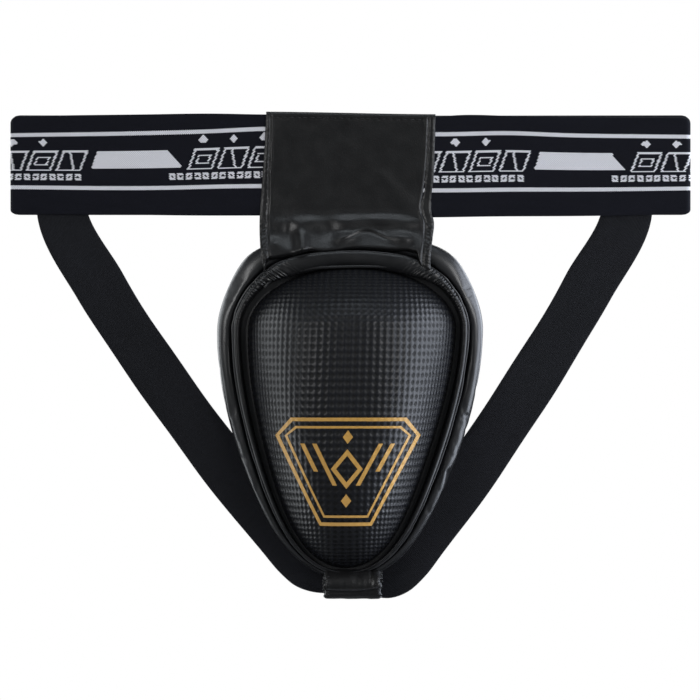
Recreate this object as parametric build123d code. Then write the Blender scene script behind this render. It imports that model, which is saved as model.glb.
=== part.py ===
"""Groin protector: a hard cup in a padded leather rim, hung by a leather tab from an elastic waistband.

Row frame, millimetres: +X to the wearer's left, +Y towards the wearer, +Z up.
The origin is the middle of the waist opening, at half the height of the waistband.
"""

import os
from math import asin, atan2, cos, degrees, pi, radians, sin, sqrt

from build123d import *

os.makedirs("parts", exist_ok=True)

# ---------------------------------------------------------------- driving dimensions
BAND_HEIGHT = 50.8
BAND_THICK = 1.5
FOLD_X = 170.4
FOLD_RADIUS = 2.0
BAND_BOW = 4.0
STUB_ANGLE = 45.0
REAR_LEFT_END = 4.0
REAR_RIGHT_START = 9.0

LEATHER = 1.0
GAP = 0.1
TAB_HALF = 44.0
TAB_RISE = 1.4
BINDING_LEFT = 4.0
BINDING_RIGHT = 6.0
BINDING_THICK = 0.9

NECK_TOP = -26.7
CUP_ORIGIN_Z = -84.0
CUP_HALF = 53.0
CUP_UP = 32.0
CUP_DOWN = 121.0
CUP_WAIST = 0.62
CUP_BASE_Y = -12.0
CUP_RISE = 45.0
CUP_CREST = 0.98
CUP_STEEP = 1.7

RIM_HALF = 67.0
RIM_UP = 48.0
RIM_DOWN = 127.0
RIM_WAIST = 0.42
RIM_SHOULDER = 0.65
RIM_BACK_Y = -2.6
LINING_THICK = 1.4

COVER_THICK = 1.2
SHELL_THICK = 2.5
LINER_THICK = 5.0
FLANGE_THICK = 2.0
STEP_INSET = 0.6

STRAP_WIDTH = 26.0
STRAP_THICK = 1.2
STRAP_Y = -1.7

TUNNEL_LEFT = -13.0
TUNNEL_RIGHT = 17.5
TUNNEL_TOP = -211.3
TUNNEL_BOTTOM = -220.8
TUNNEL_FRONT = -18.8
TUNNEL_BACK = 13.8
TUNNEL_WALL = 1.2

CLOSURE_LENGTH = 66.0
CLOSURE_THICK = 1.6
CLOSURE_HALF_HEIGHT = 24.0
BASE_START = -10.0
BASE_CLEAR = 0.3
PAD_START = 12.0
GLUE = 0.05
PAD_LENGTH = 56.0
PAD_HEIGHT = 42.0
HOOK_THICK = 1.0
LOOP_THICK = 1.0
PAD_CLEAR = 0.35

OUTLINE_POINTS = 24
DOME_COLUMNS = 25
DOME_ROWS = 41
FLANGE_REACH = 2.0
PIPING_FRONT = -18.0
PIPING_BACK = -12.2
PIPING_SHARE = 0.46
PIPING_CLEAR = 0.4
PIPING_WALL = 0.7
ROLL_FRONT = -15.0
ROLL_SHARE = 0.5
ROLL_WALL = 0.9
RIM_SEAM_INSET = 4.0

NECK_Y = -8.4
NECK_BULGE_Y = -16.2
NECK_BULGE_Z = -34.6
NECK_FOOT_Y = -16.6
NECK_FOOT_Z = -44.2

SHIELD_TOP = -128.0
SHIELD_WIDE = -137.0
SHIELD_FOOT = -182.5
SHIELD_TOP_HALF = 29.0
SHIELD_HALF = 36.5
SHIELD_FOOT_HALF = 13.0
SHIELD_LINE = 1.8
SHIELD_INNER_GAP = 4.2
SHIELD_INNER_LINE = 1.2
DIAMOND_Z = -153.7
DIAMOND_HALF = 8.0
DIAMOND_RISE = 10.0
SMALL_DIAMOND_HALF = 2.6
SMALL_DIAMOND_RISE = 3.4
SMALL_DIAMOND_STEP = 16.0
BAR_WIDTH = 2.2
LONG_BAR = (15.5, 21.0)
SHORT_BAR = (21.5, 14.0)
BAR_DROP = 4.0
PRINT_THICK = 0.3

TACK_THICK = 0.5
TACK_HEIGHT = 6.0
TACK_PITCH = 1.6

STITCH_LENGTH = 3.0
STITCH_WIDTH = 0.6
STITCH_PITCH = 4.1

# ---------------------------------------------------------------- worked-out places
BAND_TOP = BAND_HEIGHT / 2
BAND_BOTTOM = -BAND_HEIGHT / 2
HALF_BAND = BAND_THICK / 2
BOW_RADIUS = FOLD_RADIUS + (FOLD_X**2 + BAND_BOW**2) / (2 * BAND_BOW)
BOW_CENTRE = BOW_RADIUS - FOLD_RADIUS - BAND_BOW
END_ANGLE = degrees(asin(FOLD_X / (BOW_RADIUS - FOLD_RADIUS)))
CREST_DROP = (sqrt(1 + 3 * CUP_CREST**2) - 1) / (3 * CUP_CREST)
CREST_SCALE = (1 - CREST_DROP**2) * (1 + CUP_CREST * CREST_DROP)


def save(solids, node):
    """Write the solids of one node."""
    parts = solids if isinstance(solids, list) else [solids]
    flat = [solid for part in parts for solid in part.solids()]
    shape = flat[0] if len(flat) == 1 else Compound(children=flat)
    export_step(shape, f"parts/{node}.step")


# ---------------------------------------------------------------- bowed waistband strips
def bow_point(side, radius, angle):
    """A point of the bowed loop in plan: side -1 is the front half, +1 the rear half."""
    x = radius * sin(radians(angle))
    y = side * (radius * cos(radians(angle)) - BOW_CENTRE)
    return (x, y)


def bow_strip(side, inner, outer, start, end, bottom, top):
    """A strip between two offsets from the band's middle surface, outwards positive."""
    low = BOW_RADIUS + inner
    high = BOW_RADIUS + outer
    middle = (start + end) / 2
    near = [bow_point(side, low, a) for a in (start, middle, end)]
    far = [bow_point(side, high, a) for a in (end, middle, start)]
    with BuildPart() as strip:
        with BuildSketch(Plane.XY.offset(bottom)):
            with BuildLine():
                ThreePointArc(*near)
                Line(near[2], far[0])
                ThreePointArc(*far)
                Line(far[2], near[0])
            make_face()
        extrude(amount=top - bottom)
    return strip.part


def angle_at(x):
    """The bow's angle at a place along the band."""
    return degrees(asin(x / BOW_RADIUS))


def fold_stub(side, start, end):
    """Part of the tight side fold, between two polar angles round the fold's centre."""
    inner = FOLD_RADIUS - HALF_BAND
    outer = FOLD_RADIUS + HALF_BAND
    middle = (start + end) / 2
    centre = side * FOLD_X

    def at(radius, angle):
        return (centre + radius * cos(radians(angle)), radius * sin(radians(angle)))

    with BuildPart() as stub:
        with BuildSketch(Plane.XY.offset(BAND_BOTTOM)):
            with BuildLine():
                ThreePointArc(at(inner, start), at(inner, middle), at(inner, end))
                Line(at(inner, end), at(outer, end))
                ThreePointArc(at(outer, end), at(outer, middle), at(outer, start))
                Line(at(outer, start), at(inner, start))
            make_face()
        extrude(amount=BAND_HEIGHT)
    return stub.part


def front_band():
    """Front half of the band, with the first part of each side fold."""
    strip = bow_strip(-1, -HALF_BAND, HALF_BAND, -END_ANGLE, END_ANGLE, BAND_BOTTOM, BAND_TOP)
    right = fold_stub(1, -90 + END_ANGLE, -90 + END_ANGLE + STUB_ANGLE)
    left = fold_stub(-1, -90 - END_ANGLE - STUB_ANGLE, -90 - END_ANGLE)
    return strip + right + left


def rear_band(start, end):
    """A stretch of the rear half of the band."""
    return bow_strip(1, -HALF_BAND, HALF_BAND, start, end, BAND_BOTTOM, BAND_TOP)


save(front_band(), "waistband_front")
save(rear_band(-END_ANGLE, angle_at(REAR_LEFT_END)), "waistband_rear_left")
save(rear_band(angle_at(REAR_RIGHT_START), END_ANGLE), "waistband_rear_right")


# ---------------------------------------------------------------- leather tab round the front half
FRONT_FACE = HALF_BAND + GAP + LEATHER
BACK_FACE = -HALF_BAND - GAP - LEATHER
TAB_TOP = BAND_TOP + TAB_RISE


def tab_front():
    """Front panel, turned back over the band's top edge."""
    edge = angle_at(TAB_HALF)
    panel = bow_strip(-1, HALF_BAND + GAP, FRONT_FACE, -edge, edge, BAND_BOTTOM, TAB_TOP)
    lip = bow_strip(-1, BACK_FACE, FRONT_FACE, -edge, edge, BAND_TOP + GAP, TAB_TOP)
    return panel + lip


def tab_back():
    """Back panel, inside the waist opening."""
    edge = angle_at(TAB_HALF)
    return bow_strip(-1, BACK_FACE, -HALF_BAND - GAP, -edge, edge, BAND_BOTTOM, BAND_TOP)


def tab_binding(start, end):
    """A narrow strip down one side of the front panel."""
    return bow_strip(
        -1,
        FRONT_FACE,
        FRONT_FACE + BINDING_THICK,
        angle_at(start),
        angle_at(end),
        BAND_BOTTOM + GAP,
        TAB_TOP,
    )


LEFT_BINDING_EDGE = -TAB_HALF + BINDING_LEFT
RIGHT_BINDING_EDGE = TAB_HALF - BINDING_RIGHT

save(tab_front(), "tab_front_panel")
save(tab_back(), "tab_back_panel")
save(tab_binding(-TAB_HALF, LEFT_BINDING_EDGE), "tab_binding_left")
save(tab_binding(RIGHT_BINDING_EDGE, TAB_HALF), "tab_binding_right")


def band_stitch(x, z, offset, side, upright=False):
    """One thread of a seam, lying on a bowed face."""
    y = bow_point(side, BOW_RADIUS + offset, angle_at(x))[1]
    size = (STITCH_LENGTH, STITCH_WIDTH, STITCH_WIDTH)
    if upright:
        size = (STITCH_WIDTH, STITCH_WIDTH, STITCH_LENGTH)
    turn = side * -degrees(asin(x / BOW_RADIUS))
    return Pos(x, y, z) * Rot(0, 0, turn) * Box(*size)


def stitch_places(start, end):
    """Evenly spaced places of a stitch row."""
    count = int((end - start) / STITCH_PITCH)
    margin = (end - start - (count - 1) * STITCH_PITCH) / 2
    return [start + margin + i * STITCH_PITCH for i in range(count)]


SEAM_OFFSET = FRONT_FACE + STITCH_WIDTH / 2
TOP_SEAM_Z = BAND_TOP - 0.6
top_row = [
    band_stitch(x, TOP_SEAM_Z, SEAM_OFFSET, -1)
    for x in stitch_places(LEFT_BINDING_EDGE + 1, RIGHT_BINDING_EDGE - 1)
]
save(top_row, "tab_top_stitches")

side_row = [
    band_stitch(x, z, SEAM_OFFSET, -1, upright=True)
    for x in (LEFT_BINDING_EDGE + 0.6, RIGHT_BINDING_EDGE - 0.6)
    for z in stitch_places(BAND_BOTTOM + 1, BAND_TOP - 2)
]
save(side_row, "tab_side_stitches")

# ---------------------------------------------------------------- leg straps
STRAP_TOP = {"left": -145.5, "right": 138.0}
STRAP_END_HEIGHT = 34.0
STRAP_END_CLEAR = 0.15
STRAP_START_Z = -31.4
TACK_INSET = 4.0
TACK_THREAD = 0.3
TACK_LIFT = 0.3


def strap_end(x_middle):
    """Upper end of a leg strap, sewn to the inner face of the front half."""
    inner = -HALF_BAND - STRAP_END_CLEAR - STRAP_THICK
    outer = -HALF_BAND - STRAP_END_CLEAR
    left = angle_at(x_middle - STRAP_WIDTH / 2)
    right = angle_at(x_middle + STRAP_WIDTH / 2)
    return bow_strip(-1, inner, outer, left, right, BAND_BOTTOM, BAND_BOTTOM + STRAP_END_HEIGHT)


def strap_tacks(x_middle):
    """Two rows of thread on the inner face of a strap end."""
    offset = -HALF_BAND - STRAP_END_CLEAR - STRAP_THICK - TACK_LIFT
    rows = (BAND_BOTTOM + TACK_INSET, BAND_BOTTOM + STRAP_END_HEIGHT - TACK_INSET)
    reach = STRAP_WIDTH / 2 - 2
    places = stitch_places(x_middle - reach, x_middle + reach)
    tacks = []
    for z in rows:
        for x in places:
            y = bow_point(-1, BOW_RADIUS + offset, angle_at(x))[1]
            tacks.append(Pos(x, y, z) * Box(STITCH_LENGTH, TACK_THREAD, STITCH_WIDTH))
    return tacks


save(strap_end(STRAP_TOP["left"]), "strap_end_left")
save(strap_end(STRAP_TOP["right"]), "strap_end_right")
save(strap_tacks(STRAP_TOP["left"]) + strap_tacks(STRAP_TOP["right"]), "strap_tack_stitches")


def strap_section(x, z, heading, twist, y):
    """The strap's cross-section: across the heading, turned about it by the twist."""
    along = Vector(cos(radians(heading)), 0, sin(radians(heading)))
    across = Vector(-along.Z, 0, along.X)
    turned = across * cos(radians(twist)) + Vector(0, 1, 0) * sin(radians(twist))
    plane = Plane(origin=(x, y, z), x_dir=turned, z_dir=along)
    return plane * Rectangle(STRAP_WIDTH, STRAP_THICK)


def leg_strap(side, stations):
    """A strap lofted through its stations: x, z, heading down, twist and y at each."""
    sections = []
    for x, z, heading, twist, y in stations:
        flipped = -heading if side < 0 else 180 + heading
        sections.append(strap_section(x, z, flipped, -side * twist, y))
    below = Pos(0, 0, STRAP_START_Z - 150) * Box(500, 100, 300)
    return loft(sections, ruled=True) & below


LEFT_STRAP = [
    (-147.8, -20.8, 67.0, 0.0, STRAP_Y),
    (-127.2, -62.0, 60.0, 0.0, STRAP_Y),
    (-101.3, -101.8, 55.5, 0.0, STRAP_Y),
    (-72.2, -142.1, 53.0, 0.0, STRAP_Y),
    (-48.7, -172.3, 51.0, 10.0, STRAP_Y),
    (-33.6, -193.3, 48.0, 30.0, STRAP_Y),
    (-27.2, -204.6, 42.0, 50.0, STRAP_Y),
    (-22.2, -211.6, 28.0, 68.0, -2.2),
    (-12.7, -215.6, 8.0, 80.0, -2.5),
    (1.6, -216.3, 1.0, 80.0, -2.5),
]
RIGHT_STRAP = [
    (141.4, -20.8, 70.0, 0.0, STRAP_Y),
    (120.9, -62.3, 61.0, 0.0, STRAP_Y),
    (97.1, -102.2, 57.5, 0.0, STRAP_Y),
    (70.7, -142.6, 56.0, 0.0, STRAP_Y),
    (50.0, -172.6, 53.0, 10.0, STRAP_Y),
    (35.2, -193.4, 50.0, 30.0, STRAP_Y),
    (29.2, -205.0, 44.0, 50.0, STRAP_Y),
    (25.0, -211.9, 30.0, 68.0, -2.2),
    (17.0, -215.7, 8.0, 80.0, -2.5),
    (2.8, -216.3, 1.0, 80.0, -2.5),
]
save(leg_strap(-1, LEFT_STRAP), "leg_strap_left")
save(leg_strap(1, RIGHT_STRAP), "leg_strap_right")


# ---------------------------------------------------------------- dome of the cup
def cup_level(x, z, inset):
    """1 at the crest of the dome, 0 on its outline, negative outside it."""
    drop = (CUP_ORIGIN_Z - z) / CUP_DOWN
    reach = CUP_DOWN - inset if drop > 0 else CUP_UP - inset
    height = (z - CUP_ORIGIN_Z) / reach
    narrow = 1 - CUP_WAIST * max(drop, 0) ** 2 * (1 - max(drop, 0))
    width = x / ((CUP_HALF - inset) * narrow)
    crest = (1 + CUP_CREST * drop) / CREST_SCALE
    return crest * (1 - height**2 - width**2)


def cup_y(x, z, inset):
    """The dome's surface, which rises towards -Y from its base plane."""
    level = min(cup_level(x, z, inset), 1.0)
    if level > 0:
        rise = 1 - (1 - level) ** CUP_STEEP
    else:
        rise = CUP_STEEP * level / (1 - 2 * level)
    return CUP_BASE_Y - (CUP_RISE - inset) * rise


def dome_block(inset):
    """The solid under the dome's surface, inset by a wall thickness, cut at the base plane."""
    spread = CUP_HALF + 2
    low = CUP_ORIGIN_Z - CUP_DOWN - 2
    high = CUP_ORIGIN_Z + CUP_UP + 2
    across = [-spread + 2 * spread * j / (DOME_COLUMNS - 1) for j in range(DOME_COLUMNS)]
    upward = [low + (high - low) * i / (DOME_ROWS - 1) for i in range(DOME_ROWS)]
    grid = [[Vector(x, cup_y(x, z, inset), z) for x in across] for z in upward]
    face = Face.make_surface_from_array_of_points(grid, tol=0.02)
    block = extrude(face, amount=200, dir=(0, 1, 0))
    depth = CUP_RISE + 10
    keep = Pos(0, CUP_BASE_Y - depth / 2, (low + high) / 2) * Box(300, depth, 400)
    return block & keep


def outline(share, inset, y):
    """An egg outline in an upright plane: share 0 is the dome's edge, 1 the rim's outer edge."""
    half = CUP_HALF + share * (RIM_HALF - CUP_HALF) - inset
    up = CUP_UP + share * (RIM_UP - CUP_UP) - inset
    down = CUP_DOWN + share * (RIM_DOWN - CUP_DOWN) - inset
    waist = CUP_WAIST + share * (RIM_WAIST - CUP_WAIST)
    shoulder = share * RIM_SHOULDER
    points = []
    for i in range(OUTLINE_POINTS):
        turn = 2 * pi * i / OUTLINE_POINTS
        lift = sin(turn)
        drop = max(-lift, 0)
        scale = 1 - waist * drop**2 * (1 - drop) + shoulder * max(lift, 0) ** 4
        reach = up if lift > 0 else down
        points.append((half * cos(turn) * scale, y, CUP_ORIGIN_Z + reach * lift))
    return Face(Wire([Spline(*points, periodic=True)]))


def slab(share, inset, front, back):
    """The whole area inside an outline, between two depths."""
    return extrude(outline(share, inset, front), amount=back - front, dir=(0, 1, 0))


def ring(outer, inner, front, back):
    """A closed ring between two outlines, each a share and an inset."""
    return slab(*outer, front, back) - slab(*inner, front, back)


SHELL_INSET = COVER_THICK
LINER_INSET = COVER_THICK + SHELL_THICK
CAVITY_INSET = COVER_THICK + SHELL_THICK + LINER_THICK
FLANGE_BACK = CUP_BASE_Y + FLANGE_THICK
LINING_FRONT = RIM_BACK_Y - LINING_THICK

cover_outside = dome_block(0)
shell_outside = dome_block(SHELL_INSET)
shell_inside = dome_block(LINER_INSET)
cavity = dome_block(CAVITY_INSET)

save(cover_outside - shell_outside, "cup_cover")

flange = ring((0, -FLANGE_REACH), (0, LINER_INSET - STEP_INSET), CUP_BASE_Y, FLANGE_BACK)
save((shell_outside - shell_inside) + flange, "cup_shell")

neck_edge = (0, LINER_INSET + STEP_INSET)
mouth_edge = (0, CAVITY_INSET - STEP_INSET)
liner_neck = ring(neck_edge, mouth_edge, CUP_BASE_Y, FLANGE_BACK)
liner_rim = ring((PIPING_SHARE, 0), mouth_edge, FLANGE_BACK, LINING_FRONT)
save((shell_inside - cavity) + liner_neck + liner_rim, "cup_foam_liner")

# ---------------------------------------------------------------- rim: piping, outer roll, lining
piping_edge = (PIPING_SHARE, 0)
piping_bore = (0, -PIPING_CLEAR)
piping_outside = ring(piping_edge, piping_bore, PIPING_FRONT, PIPING_BACK)
cord = ring(
    (PIPING_SHARE, PIPING_WALL),
    (0, -PIPING_CLEAR - PIPING_WALL),
    PIPING_FRONT + PIPING_WALL,
    PIPING_BACK - PIPING_WALL,
)
save(piping_outside - cord, "piping_cover")
save(cord, "piping_cord")

roll_outside = ring((1, 0), (ROLL_SHARE, 0), ROLL_FRONT, LINING_FRONT)
foam = ring((1, ROLL_WALL), (ROLL_SHARE, -ROLL_WALL), ROLL_FRONT + ROLL_WALL, LINING_FRONT - ROLL_WALL)
save(roll_outside - foam, "outer_roll_cover")
save(foam, "outer_roll_foam")

save(ring((1, 0), mouth_edge, LINING_FRONT, RIM_BACK_Y), "rim_back_lining")


def rim_seam():
    """Threads round the back of the rim, near its outer edge."""
    wire = outline(1, RIM_SEAM_INSET, RIM_BACK_Y + STITCH_WIDTH / 2).outer_wire()
    count = int(wire.length / (2 * STITCH_PITCH))
    threads = []
    for i in range(count):
        here = wire.position_at(i / count)
        along = wire.tangent_at(i / count)
        turn = degrees(atan2(along.Z, along.X))
        thread = Box(STITCH_LENGTH, STITCH_WIDTH, STITCH_WIDTH)
        threads.append(Pos(here.X, here.Y, here.Z) * Rot(0, -turn, 0) * thread)
    return threads


save(rim_seam(), "rim_stitches")


# ---------------------------------------------------------------- neck: lower part of the tab
def neck_sheet(left, right, front, back):
    """A folded sheet from the band down over the rim, between two offsets from the leather's face."""
    profile = [
        (NECK_Y - front, NECK_TOP),
        (NECK_BULGE_Y - front, NECK_BULGE_Z),
        (NECK_FOOT_Y - front, NECK_FOOT_Z),
        (NECK_FOOT_Y - back, NECK_FOOT_Z),
        (NECK_BULGE_Y - back, NECK_BULGE_Z - back / 2),
        (NECK_Y - back, NECK_TOP),
    ]
    with BuildPart() as sheet:
        with BuildSketch(Plane.YZ.offset(left)):
            with BuildLine():
                Polyline(*profile, close=True)
            make_face()
        extrude(amount=right - left)
    return sheet.part


save(neck_sheet(-TAB_HALF, TAB_HALF, 0, -LEATHER), "tab_neck")
save(neck_sheet(-TAB_HALF, LEFT_BINDING_EDGE, BINDING_THICK, 0), "neck_binding_left")
save(neck_sheet(RIGHT_BINDING_EDGE, TAB_HALF, BINDING_THICK, 0), "neck_binding_right")


# ---------------------------------------------------------------- bottom tunnel
def tunnel():
    """A leather sleeve under the rim, open at both ends, for the two straps."""
    length = TUNNEL_RIGHT - TUNNEL_LEFT
    depth = TUNNEL_BACK - TUNNEL_FRONT
    height = TUNNEL_TOP - TUNNEL_BOTTOM
    x = (TUNNEL_LEFT + TUNNEL_RIGHT) / 2
    y = (TUNNEL_FRONT + TUNNEL_BACK) / 2
    z = (TUNNEL_TOP + TUNNEL_BOTTOM) / 2
    outside = Pos(x, y, z) * Box(length, depth, height)
    outside = fillet(outside.edges().filter_by(Axis.X), height / 2 - 0.6)
    inner_height = height - 2 * TUNNEL_WALL
    inside = Pos(x, y, z) * Box(length + 2, depth - 2 * TUNNEL_WALL, inner_height)
    inside = fillet(inside.edges().filter_by(Axis.X), inner_height / 2 - 0.6)
    return outside - inside


save(tunnel(), "bottom_tunnel")

tack_y = TUNNEL_FRONT - TACK_THICK / 2
tack_z = (TUNNEL_TOP + TUNNEL_BOTTOM) / 2
tack_places = (
    TUNNEL_LEFT + TACK_PITCH,
    TUNNEL_LEFT + 2 * TACK_PITCH,
    TUNNEL_RIGHT - 2 * TACK_PITCH,
    TUNNEL_RIGHT - TACK_PITCH,
)
tack_rows = [Pos(x, tack_y, tack_z) * Box(STITCH_WIDTH, TACK_THICK, TACK_HEIGHT) for x in tack_places]
save(tack_rows, "bottom_tack_stitches")

# ---------------------------------------------------------------- emblem on the dome
def prism(points):
    """An upright filled outline, extruded forwards through the whole dome."""
    with BuildPart() as block:
        with BuildSketch(Plane.XZ):
            with BuildLine():
                Polyline(*points, close=True)
            make_face()
        extrude(amount=2 * CUP_RISE)
    return block.part


def shield(inset):
    """A flat-topped shield, drawn inside its outer edge by an inset."""
    return [
        (-SHIELD_TOP_HALF + 0.6 * inset, SHIELD_TOP - inset),
        (SHIELD_TOP_HALF - 0.6 * inset, SHIELD_TOP - inset),
        (SHIELD_HALF - 1.15 * inset, SHIELD_WIDE),
        (SHIELD_FOOT_HALF - 0.45 * inset, SHIELD_FOOT + inset),
        (-SHIELD_FOOT_HALF + 0.45 * inset, SHIELD_FOOT + inset),
        (-SHIELD_HALF + 1.15 * inset, SHIELD_WIDE),
    ]


def diamond(z, reach, rise):
    """A diamond on the emblem's middle line."""
    return [(-reach, z), (0, z + rise), (reach, z), (0, z - rise)]


def slant_bar(side, start, length):
    """A bar beside the diamonds, parallel to the shield's long edge."""
    lean = (SHIELD_HALF - SHIELD_FOOT_HALF) / (SHIELD_WIDE - SHIELD_FOOT)
    shift = lean * length
    high = SHIELD_WIDE - BAR_DROP
    points = [
        (start, high),
        (start + BAR_WIDTH, high),
        (start + BAR_WIDTH - shift, high - length),
        (start - shift, high - length),
    ]
    return [(side * x, z) for x, z in points]


def emblem():
    """A shield frame with an inner line, diamonds and slanting bars: a thin print on the dome."""
    ink = [
        prism(shield(0)) - prism(shield(SHIELD_LINE)),
        prism(shield(SHIELD_INNER_GAP)) - prism(shield(SHIELD_INNER_GAP + SHIELD_INNER_LINE)),
        prism(diamond(DIAMOND_Z, DIAMOND_HALF, DIAMOND_RISE))
        - prism(diamond(DIAMOND_Z, DIAMOND_HALF * 2 / 3, DIAMOND_RISE * 2 / 3)),
    ]
    for z in (DIAMOND_Z + SMALL_DIAMOND_STEP, DIAMOND_Z - SMALL_DIAMOND_STEP):
        ink.append(prism(diamond(z, SMALL_DIAMOND_HALF, SMALL_DIAMOND_RISE)))
    for side in (-1, 1):
        ink.append(prism(slant_bar(side, *LONG_BAR)))
        ink.append(prism(slant_bar(side, *SHORT_BAR)))
    film = dome_block(-PRINT_THICK) - cover_outside
    return [film & shape for shape in ink]


save(emblem(), "emblem_print")

# ---------------------------------------------------------------- closure at the back
LOOP_FACE = HALF_BAND + GLUE
HOOK_FACE = LOOP_FACE + LOOP_THICK + PAD_CLEAR
TAB_FACE = HOOK_FACE + HOOK_THICK + GLUE
TAB_BACK = TAB_FACE + CLOSURE_THICK


def rear_strip(inner, outer, start, end, half_height):
    """A flat piece on the rear half of the band."""
    return bow_strip(1, inner, outer, angle_at(start), angle_at(end), -half_height, half_height)


tab_start = REAR_LEFT_END + BASE_CLEAR
tab_end = tab_start + CLOSURE_LENGTH
pad_end = PAD_START + PAD_LENGTH
base = rear_strip(HALF_BAND + GAP, TAB_BACK, BASE_START, REAR_LEFT_END - BASE_CLEAR, CLOSURE_HALF_HEIGHT)
save(base, "closure_base")
save(rear_strip(TAB_FACE, TAB_BACK, tab_start, tab_end, CLOSURE_HALF_HEIGHT), "closure_tab")
save(rear_strip(HOOK_FACE, HOOK_FACE + HOOK_THICK, PAD_START, pad_end, PAD_HEIGHT / 2), "hook_pad")
save(rear_strip(LOOP_FACE, LOOP_FACE + LOOP_THICK, PAD_START, pad_end, PAD_HEIGHT / 2), "loop_pad")

base_seam = [
    band_stitch(x, z, TAB_BACK + STITCH_WIDTH / 2, 1, upright=True)
    for x in (BASE_START + 2, REAR_LEFT_END - 3)
    for z in stitch_places(-CLOSURE_HALF_HEIGHT + 1, CLOSURE_HALF_HEIGHT - 1)
]
save(base_seam, "closure_stitches")
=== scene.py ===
"""Looks of the groin protector: leather tab, woven-look cup, padded rim and knitted elastic straps.

Lengths in this script are millimetres, turned into metres when a mesh is made.
"""

from math import asin, cos, pi, radians, sin, sqrt

import bmesh
import bpy
import numpy as np
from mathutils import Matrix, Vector


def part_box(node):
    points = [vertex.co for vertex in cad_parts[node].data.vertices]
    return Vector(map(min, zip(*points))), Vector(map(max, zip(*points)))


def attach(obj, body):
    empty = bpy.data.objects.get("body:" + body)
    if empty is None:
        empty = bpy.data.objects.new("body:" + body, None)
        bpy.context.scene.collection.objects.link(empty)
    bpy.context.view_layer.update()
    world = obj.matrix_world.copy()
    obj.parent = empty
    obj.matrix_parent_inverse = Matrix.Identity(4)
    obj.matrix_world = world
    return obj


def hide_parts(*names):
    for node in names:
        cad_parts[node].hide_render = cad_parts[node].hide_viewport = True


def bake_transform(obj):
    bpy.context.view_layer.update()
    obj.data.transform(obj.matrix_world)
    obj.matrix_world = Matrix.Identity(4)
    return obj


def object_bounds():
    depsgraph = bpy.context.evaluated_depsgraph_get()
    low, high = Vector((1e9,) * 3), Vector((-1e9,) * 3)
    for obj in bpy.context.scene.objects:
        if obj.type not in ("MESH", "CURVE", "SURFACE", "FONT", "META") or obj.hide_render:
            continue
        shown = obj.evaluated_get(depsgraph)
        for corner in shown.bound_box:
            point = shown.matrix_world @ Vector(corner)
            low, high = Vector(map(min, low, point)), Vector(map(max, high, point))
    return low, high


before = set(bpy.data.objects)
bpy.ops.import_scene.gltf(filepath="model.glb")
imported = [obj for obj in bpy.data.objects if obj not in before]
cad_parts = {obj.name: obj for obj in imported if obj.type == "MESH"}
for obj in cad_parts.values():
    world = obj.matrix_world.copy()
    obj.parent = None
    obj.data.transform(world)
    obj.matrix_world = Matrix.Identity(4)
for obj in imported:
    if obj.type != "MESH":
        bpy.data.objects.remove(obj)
CAD_BOX = [list(corner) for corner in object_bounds()]
MM = 0.001


def box_mm(node):
    """Lowest and highest corner of a CAD node, in millimetres."""
    low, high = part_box(node)
    return np.array(low) / MM, np.array(high) / MM


# ---------------------------------------------------------------- dimensions, from the frame
BAND_LOW, BAND_HIGH = box_mm("waistband_front")
BAND_HALF = (BAND_HIGH[2] - BAND_LOW[2]) / 2
BAND_THICK = 1.5
FOLD_X = 170.4
FOLD_RADIUS = 2.0
BAND_BOW = 4.0
BOW_RADIUS = FOLD_RADIUS + (FOLD_X**2 + BAND_BOW**2) / (2 * BAND_BOW)
BOW_CENTRE = BOW_RADIUS - FOLD_RADIUS - BAND_BOW
END_ANGLE = asin(FOLD_X / (BOW_RADIUS - FOLD_RADIUS))
REAR_LEFT_END = box_mm("waistband_rear_left")[1][0]
REAR_RIGHT_START = box_mm("waistband_rear_right")[0][0]

CUP_LOW, CUP_HIGH = box_mm("cup_cover")
CUP_HALF = (CUP_HIGH[0] - CUP_LOW[0]) / 2
CUP_BASE_Y = CUP_HIGH[1]
CUP_RISE = CUP_HIGH[1] - CUP_LOW[1]
CUP_UP = 32.0
CUP_ORIGIN_Z = CUP_HIGH[2] - CUP_UP
CUP_DOWN = CUP_ORIGIN_Z - CUP_LOW[2]
CUP_WAIST = 0.62
CUP_CREST = 0.98
CUP_STEEP = 1.7
CREST_DROP = (sqrt(1 + 3 * CUP_CREST**2) - 1) / (3 * CUP_CREST)
CREST_SCALE = (1 - CREST_DROP**2) * (1 + CUP_CREST * CREST_DROP)
CAVITY_INSET = 8.4

RIM_LOW, RIM_HIGH = box_mm("outer_roll_cover")
RIM_HALF = 67.0
RIM_UP = RIM_HIGH[2] - CUP_ORIGIN_Z
RIM_DOWN = CUP_ORIGIN_Z - RIM_LOW[2]
RIM_WAIST = 0.42
RIM_SHOULDER = 0.65
RIM_BACK_Y = box_mm("rim_back_lining")[1][1]
ROLL_FRONT = RIM_LOW[1]
PIPING_FRONT = box_mm("piping_cover")[0][1]

STRAP_WIDTH = 26.0
STRAP_THICK = 1.2
STITCH_PITCH = 3.6
FOLD_TOP_Z = -25.4
FOLD_BOTTOM_Z = -41.0
CUP_FOLD = ((0, 0, FOLD_TOP_Z * MM), (0, 0, FOLD_BOTTOM_Z * MM))


# ---------------------------------------------------------------- small maths
def smooth(low, high, value):
    """0 below low, 1 above high, and a smooth ramp between."""
    t = np.clip((np.asarray(value, float) - low) / (high - low), 0, 1)
    return t * t * (3 - 2 * t)


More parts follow.
